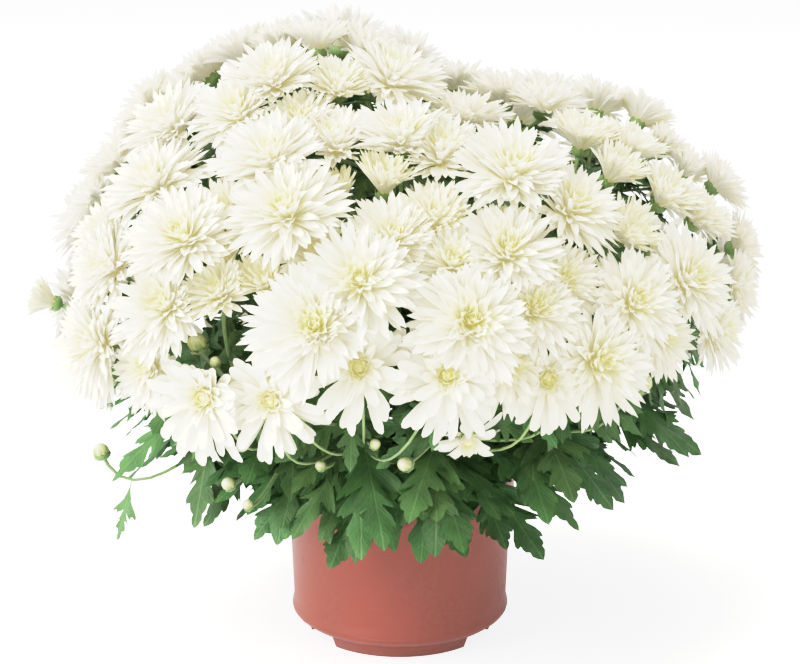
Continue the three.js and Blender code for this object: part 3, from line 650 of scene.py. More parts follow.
class Gathered:
    """Copies of patterns on their way to one mesh."""

    def __init__(self):
        self.parts = []

    def add(self, pattern, points, tone, slot_shift=0):
        """points holds one row of vertices for each copy, tone a colour for each copy."""
        tone = np.asarray(tone, float).reshape(len(points), -1)
        self.parts.append((pattern, points, tone, slot_shift))

    def add_one(self, kind, place, tone, slot_shift=0):
        """A copy that grows along an axis: place is its centre, axis, radius and height."""
        pattern = Patterns.get(kind)
        self.add(pattern, placed(pattern, *place)[None], [tone], slot_shift)

    def mesh(self, name):
        places, loops, starts, slots, uvs, tones = [], [], [], [], [], []
        vertex, loop = 0, 0
        for pattern, points, tone, slot_shift in self.parts:
            count, size = len(points), len(pattern.points)
            step = np.arange(count)[:, None]
            places.append(points.reshape(-1, 3))
            loops.append((pattern.loops[None] + step * size + vertex).ravel())
            starts.append((pattern.starts[None] + step * len(pattern.loops) + loop).ravel())
            slots.append(np.tile(pattern.slots + slot_shift, count))
            uvs.append(np.tile(pattern.uv, (count, 1)))
            tones.append(np.repeat(tone, size, axis=0))
            vertex += count * size
            loop += count * len(pattern.loops)
        mesh = bpy.data.meshes.new(name)
        mesh.vertices.add(vertex)
        mesh.vertices.foreach_set("co", np.concatenate(places).ravel() * MM)
        mesh.loops.add(loop)
        mesh.loops.foreach_set("vertex_index", np.concatenate(loops))
        starts = np.concatenate(starts)
        mesh.polygons.add(len(starts))
        mesh.polygons.foreach_set("loop_start", starts)
        mesh.polygons.foreach_set("material_index", np.concatenate(slots))
        mesh.uv_layers.new(name="along").data.foreach_set("uv", np.concatenate(uvs).ravel())
        mesh.attributes.new("tone", "FLOAT_COLOR", "POINT")
        mesh.attributes["tone"].data.foreach_set("color", np.concatenate(tones).ravel())
        mesh.update(calc_edges=True)
        mesh.validate()
        return mesh

    def piece(self, name, materials, replaced=(), smooth=55):
        obj = bpy.data.objects.new(name, self.mesh(name))
        bpy.context.scene.collection.objects.link(obj)
        finish_piece(obj, name, materials, replaced, smooth)


# ---- patterns that are copied ------------------------------------------------------
# half the width of a row that narrows to a point, whose two ends are then merged
SLIVER = 1e-4
# vertices that are closer than this are one
TOUCHING = 1e-5


def strip_pattern(rows, columns, thick=0.02):
    """A strip from a grid: rows is (place along, half width).

    A second sheet under the first bellies out a little and meets it along the
    edge, so the shape is closed. It takes the next material slot.
    """
    deselect()
    bpy.ops.mesh.primitive_grid_add(
        x_subdivisions=columns, y_subdivisions=len(rows) - 1, size=2, location=(0, 0, 0)
    )
    obj = start_edit()
    spacing = 2 / (len(rows) - 1)
    # a row is lifted by 1 once it is in place, so that it isn't picked again
    for number, (place, half) in enumerate(rows):
        level = -1 + spacing * number
        pick(obj, lambda co: abs(co.y - level) < SLIVER and abs(co.z) < TOUCHING)
        bpy.ops.transform.resize(value=(max(half, SLIVER), 1, 1), center_override=(0, 0, 0))
        bpy.ops.transform.translate(value=(0, place - level, 1))
    bpy.ops.mesh.select_all(action="SELECT")
    bpy.ops.transform.translate(value=(0, 0, -1))
    merge_all(3 * SLIVER)
    bpy.ops.mesh.select_all(action="SELECT")
    bpy.ops.mesh.duplicate_move(TRANSFORM_OT_translate={"value": (0, 0, -thick)})
    bpy.ops.mesh.flip_normals()
    shape = bmesh.from_edit_mesh(obj.data)
    for vertex in shape.verts:
        vertex.select = vertex.is_boundary and vertex.co.z < -thick / 2
    bmesh.update_edit_mesh(obj.data)
    bpy.ops.transform.translate(value=(0, 0, thick))
    merge_all(TOUCHING)
    end_edit()
    for face in obj.data.polygons:
        face.material_index = 1 if face.normal.z < 0 else 0
    return Pattern(obj)


def tube_pattern(sides, rings):
    """A straight tube of radius 1 from y = 0 to y = 1, round the y axis, closed at both ends."""
    deselect()
    bpy.ops.mesh.primitive_circle_add(
        vertices=sides, radius=1, fill_type="NGON", rotation=(math.radians(90), 0, 0)
    )
    bpy.ops.object.transform_apply(rotation=True)
    obj = start_edit()
    for _ in range(rings):
        bpy.ops.mesh.extrude_region_move(TRANSFORM_OT_translate={"value": (0, 1 / rings, 0)})
    end_edit(outward=True)
    return Pattern(obj)


CUP_SIDES = 16
CUP_FOOT = 0.26
# radius, and rise over the ring before
CUP_RINGS = [(0.72, 0.16), (0.97, 0.38), (1.0, 0.32)]
CUP_RIM = {"inset": 0.1, "sunk": 0.12, "point": 0.42, "flare": 1.09}


def cup_pattern():
    """The green cup under a bloom: a bowl of radius 1 with a rim of bract points."""
    def spoke(co):
        return round(math.atan2(co.y, co.x) / math.pi * CUP_SIDES / 2)

    deselect()
    bpy.ops.mesh.primitive_circle_add(vertices=CUP_SIDES, radius=CUP_FOOT, fill_type="NGON")
    obj = start_edit()
    reach = CUP_FOOT
    for radius, rise in CUP_RINGS:
        bpy.ops.mesh.extrude_region_move(TRANSFORM_OT_translate={"value": (0, 0, rise)})
        bpy.ops.transform.resize(value=(radius / reach, radius / reach, 1))
        reach = radius
    bpy.ops.mesh.inset(thickness=CUP_RIM["inset"])
    bpy.ops.transform.translate(value=(0, 0, -CUP_RIM["sunk"]))
    pick(obj, lambda co: co.z > 0.8 and spoke(co) % 2 == 0)
    bpy.ops.transform.translate(value=(0, 0, CUP_RIM["point"]))
    pick(obj, lambda co: 0.45 < co.z < 0.6 and spoke(co) % 2)
    flare = CUP_RIM["flare"]
    bpy.ops.transform.resize(value=(flare, flare, 1), center_override=(0, 0, 0))
    end_edit(outward=True)
    return Pattern(obj)


def ball_pattern():
    """A bud: a slightly pointed ball of radius 1 that grows along z."""
    deselect()
    bpy.ops.mesh.primitive_uv_sphere_add(segments=12, ring_count=8, radius=1)
    obj = start_edit()
    for end, narrowed in ((1, (0.86, 0.86, 1)), (-1, (0.9, 0.9, 0.9))):
        pick(obj, lambda co: co.z * end > 0.6)
        bpy.ops.transform.resize(value=narrowed, center_override=(0, 0, 0))
    end_edit()
    return Pattern(obj)


def crumb_pattern():
    """A lump of soil of radius 1."""
    deselect()
    bpy.ops.mesh.primitive_ico_sphere_add(subdivisions=1, radius=1)
    obj = start_edit()
    bpy.ops.transform.vertex_random(offset=0.25, seed=2)
    end_edit()
    return Pattern(obj)


# place along, half width
PETAL_ROWS = {
    "pointed": [(0, 0.2), (0.3, 0.37), (0.62, 0.48), (0.86, 0.33), (1, 0)],
    "spoon": [(0, 0.15), (0.32, 0.31), (0.64, 0.47), (0.87, 0.45), (0.965, 0.27), (1, 0.04)],
    "young": [(0, 0.26), (0.4, 0.46), (0.78, 0.42), (1, 0)],
}
LEAF_ROWS = {
    "small_leaf": [
        (0, 0.014), (0.11, 0.016), (0.14, 0.1), (0.17, 0.19), (0.21, 0.17), (0.26, 0.08),
        (0.3, 0.27), (0.35, 0.28), (0.4, 0.21), (0.45, 0.08), (0.5, 0.2), (0.55, 0.18),
        (0.61, 0.07), (0.68, 0.12), (0.76, 0.08), (0.8, 0.09), (0.9, 0.045), (1, 0),
    ],
    "plain_leaf": [
        (0, 0.012), (0.11, 0.014), (0.128, 0.08), (0.15, 0.165), (0.175, 0.2), (0.205, 0.17),
        (0.232, 0.092), (0.255, 0.086), (0.272, 0.22), (0.295, 0.285), (0.325, 0.295),
        (0.352, 0.24), (0.382, 0.24), (0.41, 0.18), (0.435, 0.09), (0.458, 0.084), (0.48, 0.2),
        (0.51, 0.22),
        (0.54, 0.17), (0.57, 0.16), (0.605, 0.07), (0.635, 0.07), (0.67, 0.135), (0.71, 0.138),
        (0.75, 0.112), (0.81, 0.095), (0.89, 0.062), (0.95, 0.034), (1, 0),
    ],
    "leaf": [
        (0, 0.012), (0.06, 0.012), (0.11, 0.014), (0.122, 0.05), (0.135, 0.1), (0.148, 0.15),
        (0.162, 0.185), (0.18, 0.2), (0.2, 0.17), (0.215, 0.165), (0.23, 0.092), (0.25, 0.082),
        (0.262, 0.16), (0.272, 0.225), (0.285, 0.275), (0.305, 0.3), (0.33, 0.29), (0.345, 0.235),
        (0.36, 0.232), (0.385, 0.245), (0.405, 0.195), (0.42, 0.15), (0.437, 0.09), (0.457, 0.082),
        (0.47, 0.165), (0.485, 0.208), (0.51, 0.22), (0.53, 0.196), (0.542, 0.16), (0.565, 0.165),
        (0.585, 0.125), (0.61, 0.068), (0.632, 0.066), (0.65, 0.11), (0.68, 0.14), (0.71, 0.14),
        (0.73, 0.108), (0.76, 0.114), (0.8, 0.098), (0.84, 0.066), (0.88, 0.062), (0.94, 0.034),
        (1, 0),
    ],
}
LEAF_COLUMNS = {"leaf": 4, "plain_leaf": 2, "small_leaf": 2}
# sides and rings
TUBES = {"stem": (8, 12), "stalk": (6, 8)}
# how far a leaf's rows sweep towards its tip, and how slim it is for its length
CHEVRON = 0.9
LEAF_SLIM = 0.98


class Patterns:
    """The patterns, made on first use."""

    made = {}

    @classmethod
    def get(cls, name):
        if name not in cls.made:
            cls.made[name] = cls.make(name)
        return cls.made[name]

    @staticmethod
    def make(name):
        if name in PETAL_ROWS:
            return strip_pattern(PETAL_ROWS[name], 2)
        if name in LEAF_ROWS:
            return strip_pattern(LEAF_ROWS[name], LEAF_COLUMNS[name], thick=0.01)
        if name in TUBES:
            return tube_pattern(*TUBES[name])
        return {"cup": cup_pattern, "ball": ball_pattern, "crumb": crumb_pattern}[name]()


# ---- bending copies into place --------------------------------------------------------
def beside(axis):
    """Two directions square to an axis and to each other."""
    guide = UP if abs(axis[2]) < 0.9 else np.array([1.0, 0, 0])
    side = unit(np.cross(guide, axis))
    return side, np.cross(axis, side)


def petal_arc(petals, share):
    """Reach, rise and slope at a share of each petal's length, which turns from low to high."""
    low = np.radians(petals["low"])[:, None]
    turn = np.radians(petals["high"])[:, None] - low
    turn = np.where(np.abs(turn) < 1e-3, 1e-3, turn)
    slope = low + turn * share
    length = petals["length"][:, None]
    out = (np.sin(slope) - np.sin(low)) / turn * length
    rise = -(np.cos(slope) - np.cos(low)) / turn * length
    return out, rise, slope


def bent_petals(pattern, petals, thickness):
    """Copies of a petal, each on its own arc.

    petals holds arrays with a row for each copy: root, outward, axis, length,
    width, low and high (rise at root and tip), trough, twist and sweep.
    """
    x, y, z = pattern.points.T
    wide = x[None] * petals["width"][:, None]
    out, rise, slope = petal_arc(petals, y[None])
    hollow = petals["trough"][:, None] * (wide**2) / petals["width"][:, None] * 4
    lift = hollow + np.where(z[None] < -0.01, -thickness, 0)
    twist = petals["twist"][:, None] * y[None]
    across = wide * np.cos(twist) - lift * np.sin(twist)
    proud = wide * np.sin(twist) + lift * np.cos(twist)
    across = across + petals["sweep"][:, None] * petals["length"][:, None] * y[None] ** 2
    outward, axis = petals["outward"][:, None], petals["axis"][:, None]
    sideways = np.cross(petals["outward"], petals["axis"])[:, None]
    points = petals["root"][:, None] + outward * out[..., None] + axis * rise[..., None]
    points = points + sideways * across[..., None]
    normal = -outward * np.sin(slope)[..., None] + axis * np.cos(slope)[..., None]
    return points + normal * proud[..., None]


def bent_leaf(pattern, leaf, thickness, wave, phase):
    """A copy of a leaf along its drooping rib, with edges that wave a little."""
    x, v, z = pattern.points.T
    y = v + CHEVRON * np.abs(x)
    shares = [0.0, *leaf["shares"], 1.0]
    spread = np.ones_like(x)
    for hand, row in zip((1, -1), leaf["spreads"]):
        chosen = x * hand > 0
        spread[chosen] = np.interp(y[chosen], shares, [1.0, *row, row[-1]])
    across = x * leaf["width"] * LEAF_SLIM * spread
    length, droop = leaf["length"], leaf["droop"]
    rib = leaf["root"] + np.outer(y * length, leaf["direction"])
    rib = rib - np.outer(droop * length * y * y, UP)
    tangent = leaf["direction"] - np.outer(2 * droop * y, UP)
    tangent /= np.linalg.norm(tangent, axis=1)[:, None]
    normal = np.cross(leaf["side"], tangent)
    normal /= np.linalg.norm(normal, axis=1)[:, None]
    ripple = wave * length * np.abs(x) * np.sin(v * 19 + phase + np.sign(x) * 1.3)
    lift = 0.4 - LEAF_ARCH * np.abs(across) + ripple + np.where(z < -0.005, -thickness, 0)
    return rib + across[:, None] * leaf["side"] + normal * lift[:, None]


def bent_tube(pattern, path, radii):
    """A copy of the tube along a path of points, with a radius at each."""
    path = np.asarray(path)
    steps = np.linalg.norm(np.diff(path, axis=0), axis=1)
    places = np.concatenate([[0], np.cumsum(steps)]) / steps.sum()
    rings = np.unique(np.round(pattern.points[:, 1], 5))
    centres = np.stack([np.interp(rings, places, path[:, i]) for i in range(3)], axis=1)
    tangents = np.gradient(centres, axis=0)
    tangents /= np.linalg.norm(tangents, axis=1)[:, None]
    side, _ = beside(tangents[0])
    sides = []
    for tangent in tangents:
        side = unit(side - tangent * (side @ tangent))
        sides.append(side)
    sides = np.array(sides)
    others = np.cross(sides, tangents)
    thick = np.interp(rings, places, radii)
    row = np.searchsorted(rings, np.round(pattern.points[:, 1], 5))
    x, z = pattern.points[:, 0], pattern.points[:, 2]
    offset = sides[row] * x[:, None] + others[row] * z[:, None]
    return centres[row] + offset * thick[row][:, None]


def placed(pattern, centre, axis, size, height):
    """A copy of a pattern that grows along z, set on a point along an axis."""
    side, other = beside(axis)
    x, y, z = pattern.points.T
    level = centre + np.outer(x * size, side) + np.outer(y * size, other)
    return level + np.outer(z * height, axis)


# ---- shader groups ------------------------------------------------------------------------
def new_group(name, inputs, outputs):
    group = bpy.data.node_groups.new(name, "ShaderNodeTree")
    for label, kind, default in inputs:
        socket = group.interface.new_socket(label, in_out="INPUT", socket_type="NodeSocket" + kind)
        if default is not None:
            socket.default_value = default
    for label, kind in outputs:
        group.interface.new_socket(label, in_out="OUTPUT", socket_type="NodeSocket" + kind)
    return group, group.nodes.new("NodeGroupInput"), group.nodes.new("NodeGroupOutput")


class Sheet:
    """Short calls that add nodes to a node tree."""

    def __init__(self, tree):
        self.tree = tree

    def feed(self, socket, value):
        """Links a socket to another one, or sets it to a value."""
        if isinstance(value, bpy.types.NodeSocket):
            self.tree.links.new(value, socket)
        else:
            socket.default_value = value

    def node(self, kind, settings=None, **inputs):
        made = self.tree.nodes.new("ShaderNode" + kind)
        for key, value in (settings or {}).items():
            setattr(made, key, value)
        for key, value in inputs.items():
            self.feed(made.inputs[key.replace("_", " ")], value)
        return made

    def math(self, operation, a, b=0.5, c=0.5, clamp=False):
        made = self.node("Math", {"operation": operation, "use_clamp": clamp})
        for socket, value in zip(made.inputs, (a, b, c)):
            self.feed(socket, value)
        return made.outputs[0]

    def mix(self, factor, a, b):
        made = self.node("Mix", {"data_type": "RGBA"})
        self.feed(made.inputs["Factor"], factor)
        self.feed(made.inputs[6], a)
        self.feed(made.inputs[7], b)
        return made.outputs[2]

    def span(self, value, low, high, to_low=0.0, to_high=1.0, smooth=True):
        made = self.node("MapRange", {"interpolation_type": "SMOOTHSTEP" if smooth else "LINEAR"})
        self.feed(made.inputs["Value"], value)
        ends = {"From Min": low, "From Max": high, "To Min": to_low, "To Max": to_high}
        for key, number in ends.items():
            self.feed(made.inputs[key], number)
        return made.outputs["Result"]

    def noise(self, vector, scale, detail=3.0, roughness=0.55):
        made = self.node("TexNoise", Scale=scale, Detail=detail, Roughness=roughness)
        self.feed(made.inputs["Vector"], vector)
        return made.outputs["Fac"]

    def combine(self, x, y, z=0.0):
        made = self.node("CombineXYZ")
        for socket, value in zip(made.inputs, (x, y, z)):
            self.feed(socket, value)
        return made.outputs[0]

    def stretched(self, place, scale):
        """A place whose axes are scaled one by one, for streaks."""
        made = self.node("Mapping", Vector=place)
        made.inputs["Scale"].default_value = scale
        return made.outputs[0]

    def along(self):
        """Where a point is across and along its own petal, leaf or ball."""
        place = self.node("UVMap", {"uv_map": "along"}).outputs["UV"]
        parts = self.node("SeparateXYZ", Vector=place)
        return parts.outputs["X"], parts.outputs["Y"]

    def tones(self):
        """What a copy carries: its layer, a number of its own, and for petals its youth, for greens
        its freshness, with painted shade on the hanging leaves.
        """
        tone = self.node("Attribute", {"attribute_name": "tone"}).outputs["Color"]
        layers = self.node("SeparateColor", Color=tone)
        return [layers.outputs[name] for name in ("Red", "Green", "Blue")]

    def bump(self, height, strength, distance):
        made = self.node("Bump", Strength=strength, Distance=distance)
        self.feed(made.inputs["Height"], height)
        return made.outputs["Normal"]

    def coat(self, shader, colour, roughness, relief, **more):
        """Feeds a shader: relief is height, strength and distance, more its other inputs."""
        self.feed(shader.inputs["Base Color"], colour)
        self.feed(shader.inputs["Roughness"], roughness)
        self.feed(shader.inputs["Normal"], self.bump(*relief))
        for key, value in more.items():
            self.feed(shader.inputs[key.replace("_", " ")], value)


def rgba(colour):
    return (*colour, 1.0)


def new_material(name):
    material = bpy.data.materials.new(name)
    material.use_nodes = True
    tree = material.node_tree
    return material, Sheet(tree), tree.nodes["Principled BSDF"]


def surfaced(name, group, colours, amounts):
    """A material with a group in it, whose inputs are set."""
    material, sheet, shader = new_material(name)
    surface = sheet.node("Group")
    surface.node_tree = group
    for label, value in colours.items():
        surface.inputs[label].default_value = rgba(value)
    for label, value in amounts.items():
        surface.inputs[label].default_value = value
    return material, sheet, shader, surface.outputs


SURFACE = [("Color", "Color"), ("Roughness", "Float"), ("Height", "Float")]
# how much the yellow at a petal's foot and tip grows with its youth
YELLOW = {"foot_old": 0.4, "foot_young": 0.6, "all_over": 0.42}
# places along a leaf at which its side veins leave the midrib
MAIN_VEINS = (0.17, 0.31, 0.505)
SIDE_VEINS = (0.17, 0.31, 0.385, 0.505, 0.56, 0.69, 0.76, 0.86)
VEIN_WIDTH = {"main": 0.009, "fine": 0.005}


def petal_group():
    """Colour, roughness and height over a petal, from its place along and its tone."""
    known = bpy.data.node_groups.get("petal_surface")
    if known:
        return known
    inputs = [
        ("Petal", "Color", None), ("Heart", "Color", None), ("Shade", "Color", None),
        ("Blush", "Float", 0.0), ("Lines", "Float", 0.5),
    ]
    group, start, end = new_group("petal_surface", inputs, SURFACE)
    given = start.outputs
    sheet = Sheet(group)
    across, along = sheet.along()
    depth, own, youth = sheet.tones()
    shift = sheet.math("MULTIPLY", own, 37.0)

    def streaks(wide, long):
        spot = sheet.combine(
            sheet.math("MULTIPLY", across, wide), sheet.math("MULTIPLY", along, long), shift
        )
        return sheet.noise(spot, 1.0, 2.0)

    fine = streaks(26.0, 2.2)
    broad = streaks(2.5, 3.0)
    # young petals and the foot of every petal are yellow
    foot = sheet.span(along, 0.0, 0.55, 1.0, 0.0)
    inner = sheet.span(depth, 0.45, 1.0, 0.0, 1.0)
    grown = sheet.math("MULTIPLY_ADD", youth, YELLOW["foot_young"], YELLOW["foot_old"])
    rooted = sheet.math("MULTIPLY", foot, grown)
    young = sheet.math("MULTIPLY", inner, sheet.span(along, 0.3, 1.15, 1.0, 0.45))
    yellow = sheet.math("MAXIMUM", rooted, young)
    yellow = sheet.math("MAXIMUM", yellow, sheet.math("MULTIPLY", youth, YELLOW["all_over"]))
    uneven = sheet.span(broad, 0.2, 0.8, 0.75, 1.05)
    yellow = sheet.math("MULTIPLY", yellow, uneven, clamp=True)
    colour = sheet.mix(yellow, given["Petal"], given["Heart"])
    lines = sheet.math("MULTIPLY", sheet.span(fine, 0.35, 0.75), given["Lines"])
    colour = sheet.mix(lines, colour, given["Shade"])
    patch = sheet.math("MULTIPLY", sheet.span(broad, 0.5, 0.8), given["Blush"])
    colour = sheet.mix(patch, colour, given["Shade"])
    sheet.feed(end.inputs["Color"], colour)
    sheet.feed(end.inputs["Roughness"], sheet.span(fine, 0.2, 0.8, 0.5, 0.62))
    sheet.feed(end.inputs["Height"], fine)
    return group


def petal_material(name, colours, amounts):
    material, sheet, shader, surface = surfaced(name, petal_group(), colours, amounts)
    # the emission stands for light that many petals pass on between them, past the
    # bounces that are followed
    sheet.coat(
        shader, surface["Color"], surface["Roughness"], (surface["Height"], 0.35, 0.0004),
        Specular_IOR_Level=0.3, Subsurface_Weight=0.35, Subsurface_Radius=(1.0, 0.85, 0.6),
        Subsurface_Scale=0.003, Emission_Color=surface["Color"], Emission_Strength=0.052,
    )
    return material


def leaf_group():
    """Veins, blotches and the quilted surface of a leaf, from its own place along and across."""
    known = bpy.data.node_groups.get("leaf_surface")
    if known:
        return known
    inputs = [
        ("Leaf", "Color", None), ("Vein", "Color", None), ("Dark", "Color", None),
        ("Vein amount", "Float", 0.8),
    ]
    group, start, end = new_group("leaf_surface", inputs, SURFACE)
    given = start.outputs
    sheet = Sheet(group)
    signed, along = sheet.along()
    across = sheet.math("ABSOLUTE", signed)
    _, own, fresh_and_shade = sheet.tones()
    shift = sheet.math("MULTIPLY", own, 23.0)
    spot = sheet.combine(signed, along, shift)
    wander = sheet.math("MULTIPLY_ADD", sheet.noise(spot, 14.0, 2.0), 0.03, -0.015)
    row = sheet.math("ADD", along, wander)
    midrib = sheet.span(across, 0.003, 0.014, 1.0, 0.0)
    veins = midrib
    for centre in SIDE_VEINS:
        off = sheet.math("ABSOLUTE", sheet.math("SUBTRACT", row, centre))
        width = VEIN_WIDTH["main" if centre in MAIN_VEINS else "fine"]
        line = sheet.span(off, 0.001, width, 1.0, 0.0)
        line = sheet.math("MULTIPLY", line, sheet.span(across, 0.05, 0.26, 0.95, 0.3))
        veins = sheet.math("MAXIMUM", veins, line)
    net = sheet.node("TexVoronoi", {"feature": "DISTANCE_TO_EDGE"}, Scale=24.0, Vector=spot)
    mesh_lines = sheet.span(net.outputs["Distance"], 0.0, 0.2, 0.12, 0.0)
    object_place = sheet.node("TexCoord").outputs["Object"]
    blotch = sheet.noise(object_place, 55.0, 4.0)
    colour = sheet.mix(sheet.span(blotch, 0.3, 0.72), given["Leaf"], given["Dark"])
    bright = sheet.node("HueSaturation", Fac=1.0, Color=colour)
    sheet.feed(bright.inputs["Hue"], sheet.span(own, 0.0, 1.0, 0.478, 0.514, smooth=False))
    # how light the green is follows the freshness tone, which on the hanging leaves is painted
    # shade
    sheet.feed(bright.inputs["Value"], sheet.span(fresh_and_shade, 0.0, 1.0, 0.55, 1.35, smooth=False))
    drawn = sheet.math("MAXIMUM", veins, mesh_lines)
    amount = sheet.math("MULTIPLY", drawn, given["Vein amount"])
    colour = sheet.mix(amount, bright.outputs["Color"], given["Vein"])
    sheet.feed(end.inputs["Color"], colour)
    sheet.feed(end.inputs["Roughness"], sheet.span(blotch, 0.2, 0.8, 0.42, 0.6))
    quilt = sheet.math("MULTIPLY", sheet.span(net.outputs["Distance"], 0.0, 0.4), 0.5)
    height = sheet.math("SUBTRACT", quilt, sheet.math("MULTIPLY", veins, 0.6))
    sheet.feed(end.inputs["Height"], height)
    return group


def leaf_material(name, colours, amount, strength):
    amounts = {"Vein amount": amount}
    material, sheet, shader, surface = surfaced(name, leaf_group(), colours, amounts)
    relief = (surface["Height"], strength, 0.0008)
    sheet.coat(shader, surface["Color"], surface["Roughness"], relief, Specular_IOR_Level=0.36)
    return material


def stem_material(name, colour, dark, pale):
    """Stems, stalks and cups: ribbed lengthwise, with a fine grey down."""
    material, sheet, shader = new_material(name)
    place = sheet.node("TexCoord").outputs["Object"]
    ribs = sheet.noise(sheet.stretched(place, (900, 900, 160)), 1.0, 2.0)
    blotch = sheet.noise(place, 60.0, 3.0)
    fresh_and_shade = sheet.tones()[2]
    base = sheet.mix(fresh_and_shade, rgba(dark), rgba(colour))
    base = sheet.mix(sheet.span(blotch, 0.35, 0.75, 0.0, 0.6), base, rgba(dark))
    base = sheet.mix(sheet.span(ribs, 0.5, 0.8, 0.0, 0.5), base, rgba(pale))
    roughness = sheet.span(ribs, 0.2, 0.8, 0.5, 0.7)
    sheet.coat(shader, base, roughness, (ribs, 0.4, 0.0004), Sheen_Weight=0.25)
    return material


def bud_material(name, colour, green, pale):
    """Closed petals: pale at the tip, where they still fold over, and greener down to the cup."""
    material, sheet, shader = new_material(name)
    x, y = sheet.along()
    square = sheet.math("ADD", sheet.math("MULTIPLY", x, x), sheet.math("MULTIPLY", y, y))
    far = sheet.math("SQRT", square)
    spin = sheet.math("MULTIPLY", sheet.math("ARCTAN2", x, y), 2.6)
    folds = sheet.noise(sheet.combine(spin, far), 1.5, 2.0)
    reach = sheet.math("ADD", far, sheet.span(folds, 0.3, 0.7, -0.18, 0.18))
    base = sheet.mix(sheet.span(reach, 0.25, 0.8), rgba(pale), rgba(colour))
    base = sheet.mix(sheet.span(reach, 0.8, 1.1, 0.0, 0.8), base, rgba(green))
    sheet.coat(shader, base, 0.55, (folds, 0.5, 0.0006))
    return material


# colours that go with those of the panel
FACE_SHADE = (0.94, 0.90, 0.62)
# the backs are a stronger yellow where the petals leave the green cup
BACK_FOOT = (0.95, 0.89, 0.33)
BACK_SHADE = (0.93, 0.82, 0.76)
LEAF_DARK = (0.070, 0.163, 0.051)
UNDER_VEIN = (0.2, 0.33, 0.16)
UNDER_DARK = (0.075, 0.17, 0.065)
STEM_DARK = (0.09, 0.17, 0.05)
STEM_PALE = (0.42, 0.52, 0.28)
BUD_GREEN = (0.22, 0.33, 0.1)
BUD_PALE = (0.86, 0.84, 0.56)
# the material slots of a piece of petals, and of a piece of leaves, stalks and buds
PETAL_FINISH = ("petal_face", "petal_back")
GREEN_FINISH = ("green_stem", "closed_petals", "leaf_top", "leaf_underside")
BUD_SLOT = GREEN_FINISH.index("closed_petals")
LEAF_SLOT = GREEN_FINISH.index("leaf_top")


def make_finishes(bloom, green):
    face = {"Petal": bloom.face, "Heart": bloom.heart, "Shade": FACE_SHADE}
    petal_material("petal_face", face, {"Blush": 0.15, "Lines": 0.25})
    back = {"Petal": bloom.back, "Heart": BACK_FOOT, "Shade": BACK_SHADE}
    petal_material("petal_back", back, {"Blush": 0.42, "Lines": 0.48})
    leaf = {"Leaf": green.leaf, "Vein": green.vein, "Dark": LEAF_DARK}
    leaf_material("leaf_top", leaf, 0.36, 0.4)
    under = {"Leaf": green.under, "Vein": UNDER_VEIN, "Dark": UNDER_DARK}
    leaf_material("leaf_underside", under, 0.6, 0.3)
    stem_material("green_stem", green.stem, STEM_DARK, STEM_PALE)
    bud_material("closed_petals", green.bud, BUD_GREEN, BUD_PALE)


def finishes(context, names):
    """The plant's materials by name. They are made on first use."""
    known = bpy.data.materials
    if names[0] not in known:
        make_finishes(context.scene.mum_bloom, context.scene.mum_green)
    return [known[name] for name in names]


# ---- the blooms -------------------------------------------------------------------------
# For each kind of bloom, from the outside in: count, length, root radius, root height,
# tip rise over the bloom's own, root rise, shape. Then the petals' width, as a share of
# the bloom's radius, and the radius and height of the button in the middle.
BLOOM_KINDS = {
    "full": (
        [
            (20, 1.00, 0.10, 0.00, -14, 10, "pointed"), (20, 0.99, 0.095, 0.015, -7, 16, "pointed"),
            (20, 0.96, 0.09, 0.03, 0, 22, "pointed"), (20, 0.93, 0.085, 0.045, 8, 29, "pointed"),
            (19, 0.88, 0.08, 0.06, 16, 36, "pointed"), (18, 0.82, 0.07, 0.08, 26, 43, "pointed"),
            (17, 0.73, 0.06, 0.10, 37, 51, "pointed"), (16, 0.63, 0.05, 0.12, 50, 60, "young"),
            (15, 0.52, 0.04, 0.135, 63, 68, "young"), (13, 0.42, 0.03, 0.145, 80, 76, "young"),
            (10, 0.32, 0.02, 0.15, 96, 83, "young"),
        ],
        0.165, (0.1, 0.36),
    ),
    "button": (
        [
            (13, 1.00, 0.11, 0.00, -14, 10, "spoon"), (13, 0.95, 0.11, 0.03, -5, 18, "spoon"),
            (12, 0.86, 0.105, 0.05, 7, 28, "spoon"), (12, 0.72, 0.10, 0.07, 20, 40, "spoon"),
            (11, 0.52, 0.095, 0.09, 38, 56, "young"), (15, 0.32, 0.13, 0.08, 70, 70, "young"),
            (15, 0.26, 0.11, 0.09, 92, 80, "young"), (11, 0.2, 0.07, 0.11, 108, 84, "young"),
        ],
        0.2, (0.1, 0.18),
    ),
    "single": (
        [
            (9, 1.00, 0.16, 0.00, -16, 10, "spoon"), (5, 0.7, 0.15, 0.05, 12, 36, "spoon"),
            (11, 0.42, 0.16, 0.06, 78, 70, "young"), (9, 0.36, 0.10, 0.08, 104, 80, "young"),
        ],
        0.3, (0.16, 0.26),
    ),
}
# a bloom that is open wider than this is of the kind
SINGLE_OPEN = 1.12
BUTTON_OPEN = 1.02
# degrees by which outer petals rise on a fully open bloom, and by which they rise or
# droop further for each step of openness
RISE = {"open": 4, "closing": 88, "over": 160}
# a bloom that is open less than this has fewer petals
HALF_OPEN = 0.6
FEWER = {"share": 0.7, "least": 4}
# degrees, or shares of a petal's length, by which petals of a layer differ
UNLIKE = {"root": 5, "tip": 10, "twist": 0.3, "sweep": 0.08, "trough": 0.08, "turn": 0.7}
# least and spread of a petal's length and width, as shares of the layer's
LENGTHS = (0.82, 0.22)
WIDTHS = (0.85, 0.3)
TROUGH = {"usual": 0.2, "inner": 0.1, "inner_from": 4}
# how young a bloom looks: by how far it is from grown, and by a share of its own
YOUTH = {"grown": 0.95, "per_step": 1.8, "own": 0.15}
# a bloom whose outer petals stand steeper than this is a cup, whose layers rise less
CUPPED = {"steeper": 30, "rise": 0.75}
# degrees by which a petal's root is at least steeper than the bloom's outer petals
ROOT_RISE = 8.0
# how much narrower the innermost petals are
NARROWING = 0.3
# the button's middle over the heart, as shares of its height and of the bloom's radius
BUTTON_SEAT = (0.2, 0.06)
BUTTON_FLAT = 0.8
